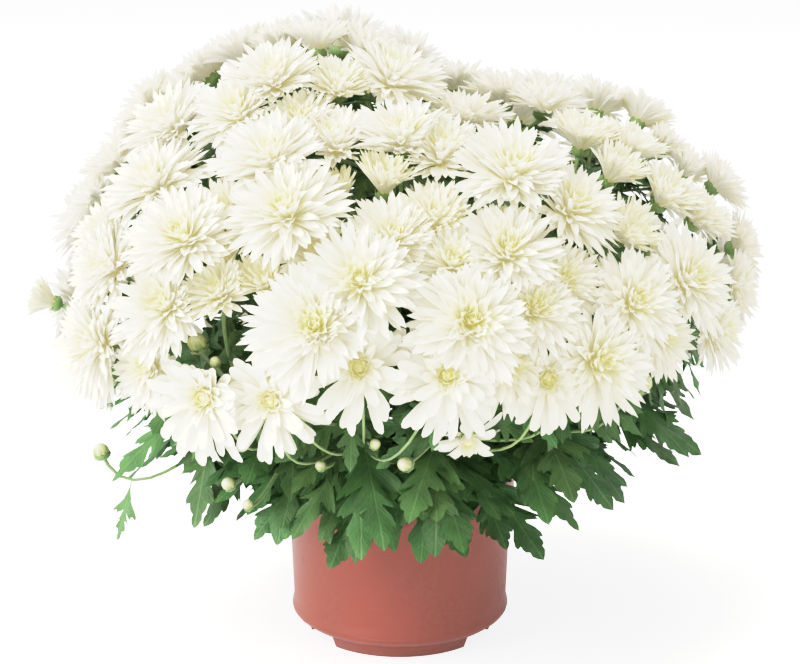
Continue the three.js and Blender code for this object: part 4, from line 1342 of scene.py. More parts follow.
# the turn from a layer, or a leaf on its stem, to the next, in radians
SPIRAL_TURN = 2.4
STEEPEST = {"root": 86.0, "tip": 112.0}
# a petal that leaves its room rises by these steps while it is flat, and gets shorter
SHY = {"tries": 30, "flat": 70, "tip": 5.0, "root": 2.5, "flat_shorter": 0.975, "shorter": 0.92}
# how far petals of neighbours may pass the plane between their blooms
OVERLAP = 4.0
# the petals stay this far inside the solids' box
BOX_SPARE = 1.3


def openness_rise(openness):
    per_step = RISE["over"] if openness > 1 else RISE["closing"]
    return RISE["open"] + (1 - openness) * per_step


def petal_fits(bloom, points):
    """True where a petal's point keeps to its bloom's room."""
    offset = points - bloom["heart"]
    fits = plan.above_ceiling(points, -OVERLAP)
    if len(bloom["fence_limits"]):
        fits &= np.all(offset @ bloom["fence_normals"].T <= bloom["fence_limits"] + OVERLAP, axis=1)
    low = np.array(frame_box[0]) / MM + BOX_SPARE
    high = np.array(frame_box[1]) / MM - BOX_SPARE
    return fits & np.all((points > low) & (points < high), axis=1)


def petals_fit(bloom, petals):
    """True for each petal that keeps to its bloom's room at its tip and its broadest place."""
    fits = np.full(len(petals["length"]), True)
    for share in (1.0, 0.6):
        out, rise, _ = petal_arc(petals, share)
        fits &= petal_fits(bloom, petals["root"] + petals["outward"] * out + petals["axis"] * rise)
    return fits


def bloom_kind(bloom):
    if bloom["open"] > SINGLE_OPEN:
        return "single"
    return "button" if bloom["open"] > BUTTON_OPEN else "full"


def settle(bloom, petals):
    """Raises or shortens petals until all of them keep to the bloom's room."""
    for _ in range(SHY["tries"]):
        fits = petals_fit(bloom, petals)
        if fits.all():
            break
        shy = ~fits & (petals["high"] < SHY["flat"])
        petals["high"] += np.where(shy, SHY["tip"], 0)
        petals["low"] += np.where(shy & (petals["low"] < SHY["flat"]), SHY["root"], 0)
        petals["length"] *= np.where(fits, 1, np.where(shy, SHY["flat_shorter"], SHY["shorter"]))


def add_bloom(gathered, bloom, width_scale, thickness, random):
    heart, axis, radius, openness = (bloom[k] for k in ("heart", "axis", "radius", "open"))
    side, other = beside(axis)
    base = openness_rise(openness)
    start = random.rand() * 2 * math.pi
    unripe = (YOUTH["grown"] - openness) * YOUTH["per_step"]
    youth = max(0.0, min(1.0, unripe)) + YOUTH["own"] * random.rand()
    layers, width_share, button = BLOOM_KINDS[bloom_kind(bloom)]
    for number, (count, length, root_out, root_up, rise, root_rise, shape) in enumerate(layers):
        if openness < HALF_OPEN:
            count = max(FEWER["least"], round(count * FEWER["share"]))
        places = np.arange(count) + UNLIKE["turn"] * (random.rand(count) - 0.5)
        angles = start + number * SPIRAL_TURN + places * 2 * math.pi / count
        outward = np.outer(np.cos(angles), side) + np.outer(np.sin(angles), other)
        # the layers of a cup stand closer together
        tip = base + rise * (CUPPED["rise"] if base > CUPPED["steeper"] else 1)
        root = min(STEEPEST["root"], max(root_rise, base + ROOT_RISE))
        uneven = random.randn(count)
        petals = {
            "root": heart + outward * root_out * radius + axis * root_up * radius,
            "outward": outward,
            "axis": np.repeat(axis[None], count, axis=0),
            "length": radius * length * (LENGTHS[0] + LENGTHS[1] * random.rand(count)),
            "low": np.full(count, root) + UNLIKE["root"] * random.randn(count),
            "high": np.minimum(STEEPEST["tip"], tip + UNLIKE["tip"] * uneven),
            "twist": UNLIKE["twist"] * random.randn(count),
            "sweep": UNLIKE["sweep"] * random.randn(count),
            "trough": TROUGH["usual"] + UNLIKE["trough"] * random.randn(count),
        }
        if number >= TROUGH["inner_from"]:
            petals["trough"] += TROUGH["inner"]
        settle(bloom, petals)
        narrow = 1.0 - NARROWING * number / len(layers)
        width = radius * width_share * width_scale * narrow
        petals["width"] = width * (WIDTHS[0] + WIDTHS[1] * random.rand(count))
        tone = np.ones((count, 4))
        tone[:, 0] = number / (len(layers) - 1)
        tone[:, 1] = random.rand(count)
        tone[:, 2] = youth
        pattern = Patterns.get(shape)
        gathered.add(pattern, bent_petals(pattern, petals, thickness), tone)
    wide, high = (radius * share for share in button)
    centre = heart + axis * (high * BUTTON_SEAT[0] + radius * BUTTON_SEAT[1])
    button = (centre, axis, wide, high * BUTTON_FLAT)
    gathered.add_one("ball", button, [1.0, random.rand(), 1.0, 1])


def ride_petals(context, k):
    sizes = context.scene.mum_bloom
    random = np.random.RandomState(500 + k)
    petals = Gathered()
    for bloom in plan.blooms:
        if bloom["shoot"] == k:
            add_bloom(petals, bloom, sizes.petal_width, sizes.petal_thickness / MM, random)
    name = f"spray_{k + 1:02d}"
    petals.piece(f"{name}_petals", finishes(context, PETAL_FINISH), [name])


# ---- stalks and buds ---------------------------------------------------------------------
# below this height the blooms at the front have few leaves on their stalks
LOW_BLOOM = 215
# small leaves on a stalk: how many, the first one's place and how far they reach along it,
# least and spread of their lift, length at the foot and how much shorter they get, and the
# place up to which they may reach past the bloom's room
BRACT = {
    "count": 8, "few": 2, "first": 0.15, "along": 0.62, "lift": (0.1, 0.4), "length": 46,
    "shorter": 26, "spread": 14, "low": 0.5, "droop": 0.15, "outward": 0.9,
}
# how a stalk leaves the knob and comes up under its bloom, as shares of its reach, and how
# far it runs into the cup
STALK_BEND = {"along": 0.25, "under": 0.35, "share": 0.6, "into_cup": 0.8}
# only blooms with a larger radius hang on stalks that bow out
SMALL_BLOOM = 28
# where stalks under the front blooms bow out before the leaves
OUTER_STALKS = [
    (-92, -152, 176), (-63, -160, 170), (-43, -165, 178), (-22, -164, 186), (-4, -168, 176),
    (68, -158, 180), (84, -152, 186), (126, -132, 186),
]
# radii of a stalk, at even steps from its root
STALKS = {
    "bloom": (1.5, 1.15, 1.1, 1.5), "outer": (1.2, 0.9, 0.8, 1.0), "bud": (1.3, 1.0, 1.0, 1.2),
    "side_bud": (1.5, 1.2, 1.1, 1.4), "neck": (2.2, 2.6, 1.6),
}
# radius and height of the cup under a bloom: its least, and how it grows with the bloom's
# radius; and how far below the bloom its middle is, as a share of its height
CUP = {"radius": (3.2, 0.1), "height": (5.2, 0.03), "below": 0.8}
# shares of a bud's radius
BUD = {"round": 0.93, "cup_radius": 0.97, "cup_height": 0.72}
# a place before a bloom's face, where no leaf may be
FACE_ROOM = {"behind": -3, "before": 45, "radius": 0.95}


def green_tone(random, fresh_and_shade):
    return [0.5, random.rand(), fresh_and_shade, 1]


def add_stalk(gathered, curve, radii, random, fresh_and_shade=0.7, kind="stalk"):
    pattern = Patterns.get(kind)
    steps = np.linspace(0, 1, 10)
    path = [bezier(curve, s) for s in steps]
    points = bent_tube(pattern, path, np.interp(steps, np.linspace(0, 1, len(radii)), radii))
    gathered.add(pattern, points[None], [green_tone(random, fresh_and_shade)])


def add_bud(gathered, bud, curve, random):
    """A bud with its cup."""
    axis = unit(curve[2] - curve[1])
    heart, radius = bud["heart"], bud["radius"]
    ball = (heart, axis, radius * BUD["round"], radius)
    gathered.add_one("ball", ball, green_tone(random, 0.8), BUD_SLOT)
    cup = (heart - axis * radius, axis, radius * BUD["cup_radius"], radius * BUD["cup_height"])
    gathered.add_one("cup", cup, green_tone(random, 0.5))


def veils_bloom(points):
    """True where any of the points is before the face of a bloom."""
    for bloom in plan.blooms:
        offset = points - bloom["heart"]
        ahead = offset @ bloom["axis"]
        aside = np.linalg.norm(offset - np.outer(ahead, bloom["axis"]), axis=1)
        near = (ahead > FACE_ROOM["behind"]) & (ahead < FACE_ROOM["before"])
        if np.any(near & (aside < bloom["radius"] * FACE_ROOM["radius"])):
            return True
    return False


def loose_leaf(root, direction, droop, length, facing):
    """A leaf apart from the solid's own, with its upper side towards facing."""
    return {
        "root": root, "direction": direction, "side": unit(np.cross(direction, facing)),
        "droop": droop, "length": length, "width": length,
        "shares": [0.5], "spreads": [[1.0], [1.0]],
    }


def add_bract(gathered, leaf, random, fresh_and_shade):
    """A small leaf on a stalk, left out where it would be before a bloom."""
    pattern = Patterns.get("small_leaf")
    points = bent_leaf(pattern, leaf, 0.35, 0.25, 6 * random.rand())
    if not veils_bloom(points):
        gathered.add(pattern, points[None], [green_tone(random, fresh_and_shade)], LEAF_SLOT)


def add_bloom_stalk(greens, k, bloom, random):
    """The cup, the stalk and the small leaves under one bloom."""
    shoot = plan.shoots[k]
    knob, end = plan.knob(shoot), plan.tip_way(shoot)
    heart, axis, radius = bloom["heart"], bloom["axis"], bloom["radius"]
    cup_radius, cup_height = (CUP[way][0] + CUP[way][1] * radius for way in ("radius", "height"))
    foot = heart - axis * (cup_height * CUP["below"])
    tone = green_tone(random, some(random, *FRESH_AND_SHADE["cup"]))
    greens.add_one("cup", (foot, axis, cup_radius, cup_height), tone)
    reach = np.linalg.norm(foot - knob)
    aim = foot - axis * STALK_BEND["under"] * reach
    control = knob + end * STALK_BEND["along"] * reach + (aim - knob) * STALK_BEND["share"]
    curve = (knob, control, foot + axis * STALK_BEND["into_cup"])
    add_stalk(greens, curve, STALKS["bloom"], random)
    bare = heart[2] < LOW_BLOOM and heart[1] < 0
    side = unit(np.cross(axis, shoot["direction"] + UP * 0.1))
    other = np.cross(axis, side)
    facing = axis + unit(heart - HUB) * BRACT["outward"]
    for number in range(BRACT["few"] if bare else BRACT["count"]):
        spin = SPIRAL_TURN * number + random.rand()
        share = BRACT["first"] + BRACT["along"] * number / (BRACT["count"] - 1)
        lift = some(random, *BRACT["lift"])
        direction = unit(side * math.cos(spin) + other * math.sin(spin) + axis * lift)
        length = some(random, BRACT["length"] - BRACT["shorter"] * share, BRACT["spread"])
        root = bezier(curve, share)
        if share < BRACT["low"] or petal_fits(bloom, (root + direction * length)[None])[0]:
            leaf = loose_leaf(root, direction, BRACT["droop"], length, facing)
            add_bract(greens, leaf, random, some(random, *FRESH_AND_SHADE["bract"]))


def ride_stalks(context, k):
    random = np.random.RandomState(900 + k)
    shoot = plan.shoots[k]
    greens = Gathered()
    for bloom in plan.blooms:
        if bloom["shoot"] == k:
            add_bloom_stalk(greens, k, bloom, random)
    grown = [bloom for bloom in plan.blooms if bloom["radius"] > SMALL_BLOOM]
    for middle in np.array(OUTER_STALKS, float):
        if plan.nearest(middle[None])[0] == k:
            bloom = min(grown, key=lambda b: np.linalg.norm(b["heart"] - middle))
            foot = bloom["heart"] - bloom["axis"] * 6
            root = stem_point(shoot, 0.8)
            curve = (root, middle * 2 - (root + foot) / 2, foot)
            add_stalk(greens, curve, STALKS["outer"], random, 1.0, "stem")
    for bud in plan.buds:
        if bud["shoot"] == k:
            curve = plan.branch(k, bud)
            add_stalk(greens, curve, STALKS["bud"], random)
            add_bud(greens, bud, curve, random)
    tip, knob, end = shoot["tip"], plan.knob(shoot), plan.tip_way(shoot)
    pattern = Patterns.get("stalk")
    neck = bent_tube(pattern, [tip, tip + end * 4, knob + end * 3], STALKS["neck"])
    greens.add(pattern, neck[None], [green_tone(random, 0.6)])
    greens.piece(f"spray_{k + 1:02d}_stalks", finishes(context, GREEN_FINISH))


# ---- leafy stems --------------------------------------------------------------------------
# shoot, place on the stem, turn, rise, droop, length of leaves that hang over the edge
HANGING_LEAVES = [
    (17, 0.8, 56, -60, 0.05, 92), (17, 0.5, 20, -50, 0.05, 84), (21, 0.3, 4, -40, 0.05, 84),
    (21, 0.3, -18, -41, 0.05, 70), (19, 0.34, -14, -38, 0.1, 76), (20, 0.36, 12, -36, 0.1, 70),
    (18, 0.4, -8, -40, 0.1, 72), (22, 0.85, 12, -30, 0.1, 84), (22, 0.6, 2, -48, 0.1, 80),
    (21, 0.9, 28, -46, 0.1, 76),
]
# the way in which leaves at the front are looked at
EYE_WAY = np.array([0.0, 0.8, 0.0])
# in front of this depth, outside this radius and over this height only stalks grow
STALK_ROOM = (50, 122, 152)
# how many leaves grow low on a shoot of each ring, where the stems leave the pot
LOW_LEAVES = (5, 7, 9)
# they stay this far under the plane that parts leaves from blooms
LEAF_MARGIN = 4.0
# and each of their points is either this far from the axis or this high
LOW_ROOM = (92.0, 128.0)
LOW_DROOP = 0.3
# leaves all along a stem: how many, the first one's place and how far they reach along the
# stem from there, least and spread of the length asked for, and the least worth keeping
EXTRA = {"count": 32, "first": 0.48, "along": 0.51, "length": (50, 22), "least": 18}
# how many leaves of a shoot of each ring reach back over the plant's middle
INNER_LEAVES = (4, 6, 6)
INNER = {"length": 66, "least": 30}
LEAF_THICKNESS = {"leaf": 0.5, "plain_leaf": 0.45, "small_leaf": 0.45}
LEAF_WAVE = 0.2
# least and spread of how fresh a leaf's green is, which sets how light it is; the low values of the
# hanging leaves are painted shade that keeps them dark under the key light
FRESH_AND_SHADE = {
    "own": (0.12, 0.36), "hanging": (0, 0.3), "low": (0.1, 0.5), "extra": (0.1, 0.4),
    "inner": (0, 0.2), "bract": (0.1, 0.4), "cup": (0.55, 0.3),
}


def hides_stalks(points):
    """True where a leaf reaches the place just under the blooms at the front."""
    far = np.hypot(points[:, 0], points[:, 1])
    place = (points[:, 1] < -STALK_ROOM[0]) & (far > STALK_ROOM[1]) & (points[:, 2] > STALK_ROOM[2])
    return bool(np.any(place))


def in_the_way(points):
    """True where a leaf is before a bloom, or where only stalks grow."""
    return veils_bloom(points) or hides_stalks(points)


def some(random, least, spread):
    return least + spread * random.rand()


def add_leaf(leaves, kind, leaf, use, random, left_out=lambda points: False):
    """Adds a bent leaf, unless its points say that it is left out."""
    pattern = Patterns.get(kind)
    points = bent_leaf(pattern, leaf, LEAF_THICKNESS[kind], LEAF_WAVE, 6 * random.rand())
    fresh_and_shade = some(random, *FRESH_AND_SHADE[use])
    if not left_out(points):
        leaves.add(pattern, points[None], [green_tone(random, fresh_and_shade)], LEAF_SLOT)


def add_hanging_leaves(leaves, k, random):
    shoot = plan.shoots[k]
    for number, share, turn, rise, droop, length in HANGING_LEAVES:
        if number == k + 1:
            direction = heading(shoot["turn"] + math.radians(turn), math.radians(rise))
            facing = UP + shoot["outward"] * 1.5 - EYE_WAY
            leaf = loose_leaf(stem_point(shoot, share), direction, droop, length, facing)
            # the hanging leaves are darkened by painted shade through their freshness tone
            add_leaf(leaves, "leaf", leaf, "hanging", random)


def low_leaf(k, number, random):
    """A leaf among the stems over the pot, cut short before it meets pot or blooms."""
    shoot = plan.shoots[k]
    root = stem_point(shoot, 0.16 + 0.4 * number / LOW_LEAVES[shoot["ring"]])
    turn = shoot["turn"] + math.radians(110 * (random.rand() - 0.5))
    direction = heading(turn, math.radians(some(random, -35, 75)))
    facing = UP + shoot["outward"] * some(random, 0.4, 1.2)
    leaf = loose_leaf(root, direction, LOW_DROOP, some(random, 44, 26), facing)
    for _ in range(12):
        reach = leaf["length"]
        ends = np.array([
            root + direction * reach * s - UP * LOW_DROOP * reach * s * s for s in (0.5, 0.8, 1)
        ])
        far = np.hypot(ends[:, 0], ends[:, 1])
        off_pot = np.all((far > LOW_ROOM[0]) | (ends[:, 2] > LOW_ROOM[1]))
        under = not plan.above_ceiling(ends, -LEAF_MARGIN).any()
        if off_pot and under and not in_the_way(ends):
            break
        leaf["length"] *= 0.88
    leaf["width"] = leaf["length"]
    return leaf


def add_extra_leaves(leaves, k, random):
    shoot = plan.shoots[k]
    outer = shoot["ring"] == 2
    for number in range(EXTRA["count"]):
        share = EXTRA["first"] + EXTRA["along"] * number / (EXTRA["count"] - 1)
        turn = shoot["turn"] + SPIRAL_TURN * number + 0.5 * random.rand()
        rise = math.radians(some(random, -50 if outer else -20, 60))
        wanted = some(random, *EXTRA["length"])
        root = stem_point(shoot, share)
        leaf = plan.leaf_at(k, root, turn, rise, 0.25, wanted, SMALL_LEAF_EDGE)
        if leaf["length"] >= EXTRA["least"]:
            kind = "plain_leaf" if outer or number % 2 else "small_leaf"
            add_leaf(leaves, kind, leaf, "extra", random, in_the_way)


def add_inner_leaves(leaves, k, random):
    shoot = plan.shoots[k]
    count = INNER_LEAVES[shoot["ring"]]
    for number in range(count):
        turn = shoot["turn"] + math.pi + (number % 3 - 1) * 1.2 + 0.4 * random.rand()
        root = stem_point(shoot, 0.62 + 0.3 * number / count)
        rise = math.radians(some(random, 20, -50))
        leaf = plan.leaf_at(k, root, turn, rise, 0.2, INNER["length"], SMALL_LEAF_EDGE)
        if leaf["length"] > INNER["least"]:
            add_leaf(leaves, "plain_leaf", leaf, "inner", random)


def ride_shoot(context, k):
    random = np.random.RandomState(1300 + k)
    shoot = plan.shoots[k]
    leaves = Gathered()
    pattern = Patterns.get("stem")
    path = [shoot["foot"], *[bezier(shoot["curve"], s) for s in np.linspace(0, 1, 12)]]
    radii = np.interp(np.linspace(0, 1, len(path)), (0, 0.5, 1), (2.8, 2.4, 1.9))
    leaves.add(pattern, bent_tube(pattern, path, radii)[None], [green_tone(random, 0.4)])
    large = Patterns.get("leaf")
    for leaf in shoot["leaves"]:
        fresh_and_shade = some(random, *FRESH_AND_SHADE["own"])
        wave = some(random, 0.12, 0.12)
        points = bent_leaf(large, leaf, LEAF_THICKNESS["leaf"], wave, 6 * random.rand())
        leaves.add(large, points[None], [green_tone(random, fresh_and_shade)], LEAF_SLOT)
    add_hanging_leaves(leaves, k, random)
    for number in range(LOW_LEAVES[shoot["ring"]]):
        add_leaf(leaves, "plain_leaf", low_leaf(k, number, random), "low", random)
    add_extra_leaves(leaves, k, random)
    add_inner_leaves(leaves, k, random)
    for bud in plan.side_buds:
        if bud["shoot"] == k:
            curve = plan.branch(k, bud)
            add_stalk(leaves, curve, STALKS["side_bud"], random, 0.8, "stem")
            add_bud(leaves, bud, curve, random)
    name = f"shoot_{k + 1:02d}"
    leaves.piece(f"{name}_leaves", finishes(context, GREEN_FINISH), [name])


# ---- pot and soil ----------------------------------------------------------------------------
POT_SIDES = 144
SOIL_SIDES = 72
FOOT = {
    "inner": 57, "outer": 63, "top": 66, "height": 9, "gap": 35, "gap_depth": 26, "gaps": 3,
    "first_gap": -30, "floor": 11,
}
BULGE = {"radius": 75, "height": 17}
WALL = {"top": 76.5, "low": 73.7, "low_height": 23}
# metres by which the pot's edges are rounded
ROUNDING = 0.0004
# degrees between faces, up to which they are shaded as one
SMOOTH = {"pot": 32, "soil": 50, "crumb": 40}
# metres by which the soil's surface is uneven
LUMPY = 0.0016
# least and spread of a crumb's size, its height as a share of that, and how deep it lies
CRUMB = {"size": (0.8, 1.9), "flat": 0.7, "sunk": 0.3, "off_wall": 4}
# colours that go with those of the panel
SCUFF = (0.1, 0.035, 0.028)
# a darker colour that the pot takes in a mottle towards its bottom
LOW_MOTTLE = (0.12, 0.07, 0.05)
SOIL_GRAIN = (0.085, 0.052, 0.032)
SOIL_FIBRE = (0.17, 0.115, 0.07)


def pot_profile(pot):
    """Radius and height along the pot's section, from the middle of its underside round its rim."""
    height, rim, t = pot.height / MM, pot.rim / MM, pot.wall / MM
    band = height - pot.band / MM
    return [
        (0, FOOT["height"]), (FOOT["inner"], FOOT["height"]), (FOOT["inner"] + 1, 0.3),
        (FOOT["inner"] + 1.6, 0), (FOOT["outer"] - 0.6, 0), (FOOT["outer"], 0.5),
        (FOOT["top"], FOOT["height"]), (FOOT["top"] + 3, FOOT["height"] + 1),
        (BULGE["radius"] - 2, FOOT["height"] + 4), (BULGE["radius"] - 0.5, BULGE["height"] - 2),
        (BULGE["radius"], BULGE["height"]), (BULGE["radius"] - 0.3, BULGE["height"] + 2),
        (WALL["low"] + 0.2, WALL["low_height"] - 1), (WALL["low"], WALL["low_height"] + 2),
        (WALL["top"] - 0.1, band - 1.6), (WALL["top"] + 0.3, band - 0.8), (rim - 0.4, band - 0.1),
        (rim, band + 0.4), (rim, height - 1.1), (rim - 0.4, height - 0.3), (rim - 1.1, height),
        (rim - t, height), (rim - t - 0.4, height - 0.5), (WALL["top"] - t, band - 0.6),
        (WALL["low"] - t, WALL["low_height"]), (WALL["low"] - t - 5, FOOT["floor"] + 2.6),
        (FOOT["outer"], FOOT["floor"]), (0, FOOT["floor"]),
    ]


def soil_profile(inner, high):
    """Radius and height from the middle of the soil's underside up to its crown."""
    floor = FOOT["floor"] + KNOB_GAP
    under = [
        (0, floor), (FOOT["outer"] - 0.6, floor), (inner - 5.6, floor + 2.7),
        (inner - 0.4, WALL["low_height"]), (high, SOIL_TOP),
    ]
    slope = [(high - 14 * i / 4, SOIL_TOP + 2 * i / 4) for i in range(1, 4)]
    return under + slope + [(radius, SOIL_CROWN) for radius in range(56, -1, -4)]


def spun(profile, sides):
    """A turned body: a point is extruded along the profile, which is then spun round the axis."""
    deselect()
    bpy.ops.mesh.primitive_plane_add(size=1, location=(0, 0, 0))
    obj = start_edit()
    bpy.ops.mesh.merge(type="CENTER")
    x, z = profile[0]
    bpy.ops.transform.translate(value=(x * MM, 0, z * MM))
    for next_x, next_z in profile[1:]:
        move = {"value": ((next_x - x) * MM, 0, (next_z - z) * MM)}
        bpy.ops.mesh.extrude_vertices_move(TRANSFORM_OT_translate=move)
        x, z = next_x, next_z
    bpy.ops.mesh.select_all(action="SELECT")
    bpy.ops.mesh.spin(steps=sides, angle=2 * math.pi, center=(0, 0, 0), axis=(0, 0, 1))
    merge_all(TOUCHING)
    end_edit(outward=True)
    return obj


def pot_material(pot):
    material, sheet, shader = new_material("terracotta_plastic")
    place = sheet.node("TexCoord").outputs["Object"]
    broad = sheet.noise(place, 14.0, 4.0)
    fine = sheet.noise(place, 900.0, 2.0)
    speck = sheet.noise(place, 240.0, 3.0, 0.7)
    deep = rgba([c * 0.86 for c in pot.colour])
    colour = sheet.mix(sheet.span(broad, 0.35, 0.68), rgba(pot.colour), deep)
    dusty = sheet.span(broad, 0.42, 0.66)
    film = sheet.math("MULTIPLY", dusty, sheet.span(speck, 0.35, 0.7), clamp=True)
    colour = sheet.mix(sheet.math("MULTIPLY", film, 0.12), colour, rgba(pot.dust))
    rubbed = sheet.noise(sheet.stretched(place, (30, 30, 900)), 1.0, 4.0)
    marks = sheet.span(rubbed, 0.62, 0.72, 0.0, 0.18)
    colour = sheet.mix(marks, colour, rgba(pot.dust))
    scuffs = sheet.span(sheet.noise(place, 75.0, 2.0), 0.7, 0.78, 0.0, 0.45)
    colour = sheet.mix(scuffs, colour, rgba(SCUFF))
    height = sheet.node("SeparateXYZ", Vector=place).outputs["Z"]
    # the pot is darker in a mottle towards the bottom
    low = sheet.span(height, 0.0, 0.024, 0.3, 0.0)
    low_mottle = sheet.math("MULTIPLY", low, sheet.span(speck, 0.35, 0.65))
    colour = sheet.mix(low_mottle, colour, rgba(LOW_MOTTLE))
    roughness = sheet.span(film, 0.0, 1.0, 0.36, 0.52)
    grain = sheet.math("MULTIPLY", fine, 0.4)
    relief = sheet.math("ADD", grain, sheet.math("MULTIPLY", rubbed, 0.5))
    sheet.coat(shader, colour, roughness, (relief, 0.12, 0.0005), Specular_IOR_Level=0.38)
    return material


def soil_material(soil):
    material, sheet, shader = new_material("damp_soil")
    place = sheet.node("TexCoord").outputs["Object"]
    coarse = sheet.noise(place, 260.0, 5.0, 0.7)
    fibre = sheet.noise(place, 1100.0, 3.0, 0.7)
    colour = sheet.mix(sheet.span(coarse, 0.35, 0.7), rgba(soil.colour), rgba(SOIL_GRAIN))
    colour = sheet.mix(sheet.span(fibre, 0.62, 0.8, 0.0, 0.7), colour, rgba(SOIL_FIBRE))
    roughness = sheet.span(coarse, 0.2, 0.8, 0.75, 0.95)
    sheet.coat(shader, colour, roughness, (sheet.math("ADD", coarse, fibre), 0.8, 0.002))
    return material


def add_crumbs(count, reach, material):
    random = np.random.RandomState(60)
    crumbs = Gathered()
    for _ in range(count):
        far = reach * math.sqrt(random.rand())
        turn = random.rand() * 2 * math.pi
        size = CRUMB["size"][0] + CRUMB["size"][1] * random.rand() ** 2
        centre = np.array([far * math.cos(turn), far * math.sin(turn), SOIL_CROWN - CRUMB["sunk"]])
        place = (centre, unit(random.randn(3)), size, size * CRUMB["flat"])
        crumbs.add_one("crumb", place, [0.5, 0.5, 0.5, 1])
    crumbs.piece("soil_crumbs", [material], smooth=SMOOTH["crumb"])


# ---- light and camera --------------------------------------------------------------------------
# name, place, size and power
LIGHTS = [
    ("key", (-2.1, -1.4, 1.6), 2.2, 77.0), ("fill", (1.9, -1.4, 1.3), 1.8, 2.0),
    ("top", (-0.1, 0.5, 2.6), 2.0, 28.0),
]
LIT_POINT = Vector((0, 0, 0.22))
WORLD_STRENGTH = 0.57
# the floor glows a little, and more so to the camera
FLOOR = {"size": 30, "grey": 0.9, "roughness": 0.9, "glow": 0.15, "seen_glow": 0.6}
CAMERA = {"lens": 99.86, "sensor": 36, "away": 1.5, "rise": 15}
CAMERA_TARGET = Vector((0, 0, 0.21))
# brightness of the light that reaches the camera, and how bright it is shown
TONE = [
    (0, 0), (0.1, 0.155), (0.2, 0.33), (0.3, 0.51), (0.4, 0.64), (0.5, 0.725), (0.6, 0.785),
    (0.75, 0.85), (0.9, 0.89), (1.1, 0.92), (1.3, 0.955), (1.4, 1.0),
]
TONE_REACH = TONE[-1][0]


def add_object(context, name, data, location, target):
    """A light or camera at a place, looking at a target."""
    obj = bpy.data.objects.new(name, data)
    obj.location = location
    obj.rotation_mode = "QUATERNION"
    obj.rotation_quaternion = (target - obj.location).to_track_quat("-Z", "Y")
    context.scene.collection.objects.link(obj)
    return obj


def add_floor(context):
    deselect()
    bpy.ops.mesh.primitive_plane_add(size=FLOOR["size"], location=(0, 0, 0))
    floor = context.active_object
    floor.name = "floor"
    material, sheet, shader = new_material("pale_floor")
    shader.inputs["Base Color"].default_value = rgba((FLOOR["grey"],) * 3)
    shader.inputs["Roughness"].default_value = FLOOR["roughness"]
    shader.inputs["Emission Color"].default_value = (1, 1, 1, 1)
    seen = sheet.node("LightPath").outputs["Is Camera Ray"]
    glow = sheet.math("MULTIPLY_ADD", seen, FLOOR["seen_glow"], FLOOR["glow"])
    sheet.feed(shader.inputs["Emission Strength"], glow)
    floor.data.materials.append(material)


def set_tone(view):
    """A curve on the render's tones, so that whites keep their detail."""
    view.view_transform = "Standard"
    view.use_curve_mapping = True
    curves = view.curve_mapping
    curves.white_level = (TONE_REACH,) * 3
    tone = curves.curves[3]
    for place, value in TONE[1:-1]:
        tone.points.new(place / TONE_REACH, value)
    tone.points[0].location = (0, 0)
    tone.points[-1].location = (1, 1)
    for point in tone.points:
        point.handle_type = "VECTOR"
    curves.update()


# ---- operators ---------------------------------------------------------------------------------
class MUM_OT_stage(bpy.types.Operator):
    """Pale floor, soft studio light and the camera"""

    bl_idname = "mum.stage"
    bl_label = "Stage"

    def execute(self, context):
        add_floor(context)
        for name, place, size, power in LIGHTS:
            data = bpy.data.lights.new(name, "AREA")
            data.size = size
            data.energy = power
            add_object(context, name, data, place, LIT_POINT)
        world = bpy.data.worlds.new("studio")
        world.use_nodes = True
        sky = world.node_tree.nodes["Background"]
        sky.inputs["Color"].default_value = (1, 1, 1, 1)
        sky.inputs["Strength"].default_value = WORLD_STRENGTH
        context.scene.world = world
        set_tone(context.scene.view_settings)
        data = bpy.data.cameras.new("camera")
        data.lens = CAMERA["lens"]
        data.sensor_width = CAMERA["sensor"]
        away, rise = CAMERA["away"], math.radians(CAMERA["rise"])
        place = CAMERA_TARGET + Vector((0, -away * math.cos(rise), away * math.sin(rise)))
        context.scene.camera = add_object(context, "camera", data, place, CAMERA_TARGET)
        return {"FINISHED"}


class MUM_OT_pot(bpy.types.Operator):
    """The plastic pot: rim band, wall, bulge and a foot in three pieces"""

    bl_idname = "mum.pot"
    bl_label = "Pot"

    def execute(self, context):
        pot = context.scene.mum_pot
        body = spun(pot_profile(pot), POT_SIDES)
        reach = (FOOT["outer"] - 8) * MM
        for i in range(FOOT["gaps"]):
            turn = math.radians(FOOT["first_gap"] + 360 / FOOT["gaps"] * i)
            deselect()
            bpy.ops.mesh.primitive_cube_add(
                size=1, location=(reach * math.cos(turn), reach * math.sin(turn), 0),
                rotation=(0, 0, turn),
                scale=(FOOT["gap_depth"] * MM, FOOT["gap"] * MM, 2 * FOOT["height"] * MM),
            )
            cutter = context.active_object
            apply_modifier(body, "BOOLEAN", object=cutter, operation="DIFFERENCE", solver="EXACT")
            bpy.data.objects.remove(cutter)
        apply_modifier(
            body, "BEVEL", width=ROUNDING, segments=2, limit_method="ANGLE",
            angle_limit=math.radians(50),
        )
        finish_piece(body, "pot_shell", [pot_material(pot)], ["pot"], SMOOTH["pot"])
        return {"FINISHED"}


class MUM_OT_soil(bpy.types.Operator):
    """The crumbly soil in the pot"""

    bl_idname = "mum.soil"
    bl_label = "Soil"

    def execute(self, context):
        soil = context.scene.mum_soil
        wall = context.scene.mum_pot.wall / MM
        inner = WALL["low"] - wall - KNOB_GAP
        high = WALL["top"] - wall - KNOB_GAP - 0.7
        body = spun(soil_profile(inner, high), SOIL_SIDES)
        bpy.ops.object.mode_set(mode="EDIT")
        pick(body, lambda co: co.z > (SOIL_TOP + 0.1) * MM)
        bpy.ops.transform.vertex_random(offset=LUMPY, uniform=0.0, normal=0.0, seed=4)
        end_edit()
        material = soil_material(soil)
        add_crumbs(soil.crumbs, high - CRUMB["off_wall"], material)
        finish_piece(body, "soil_bed", [material], ["soil"], SMOOTH["soil"])
        return {"FINISHED"}


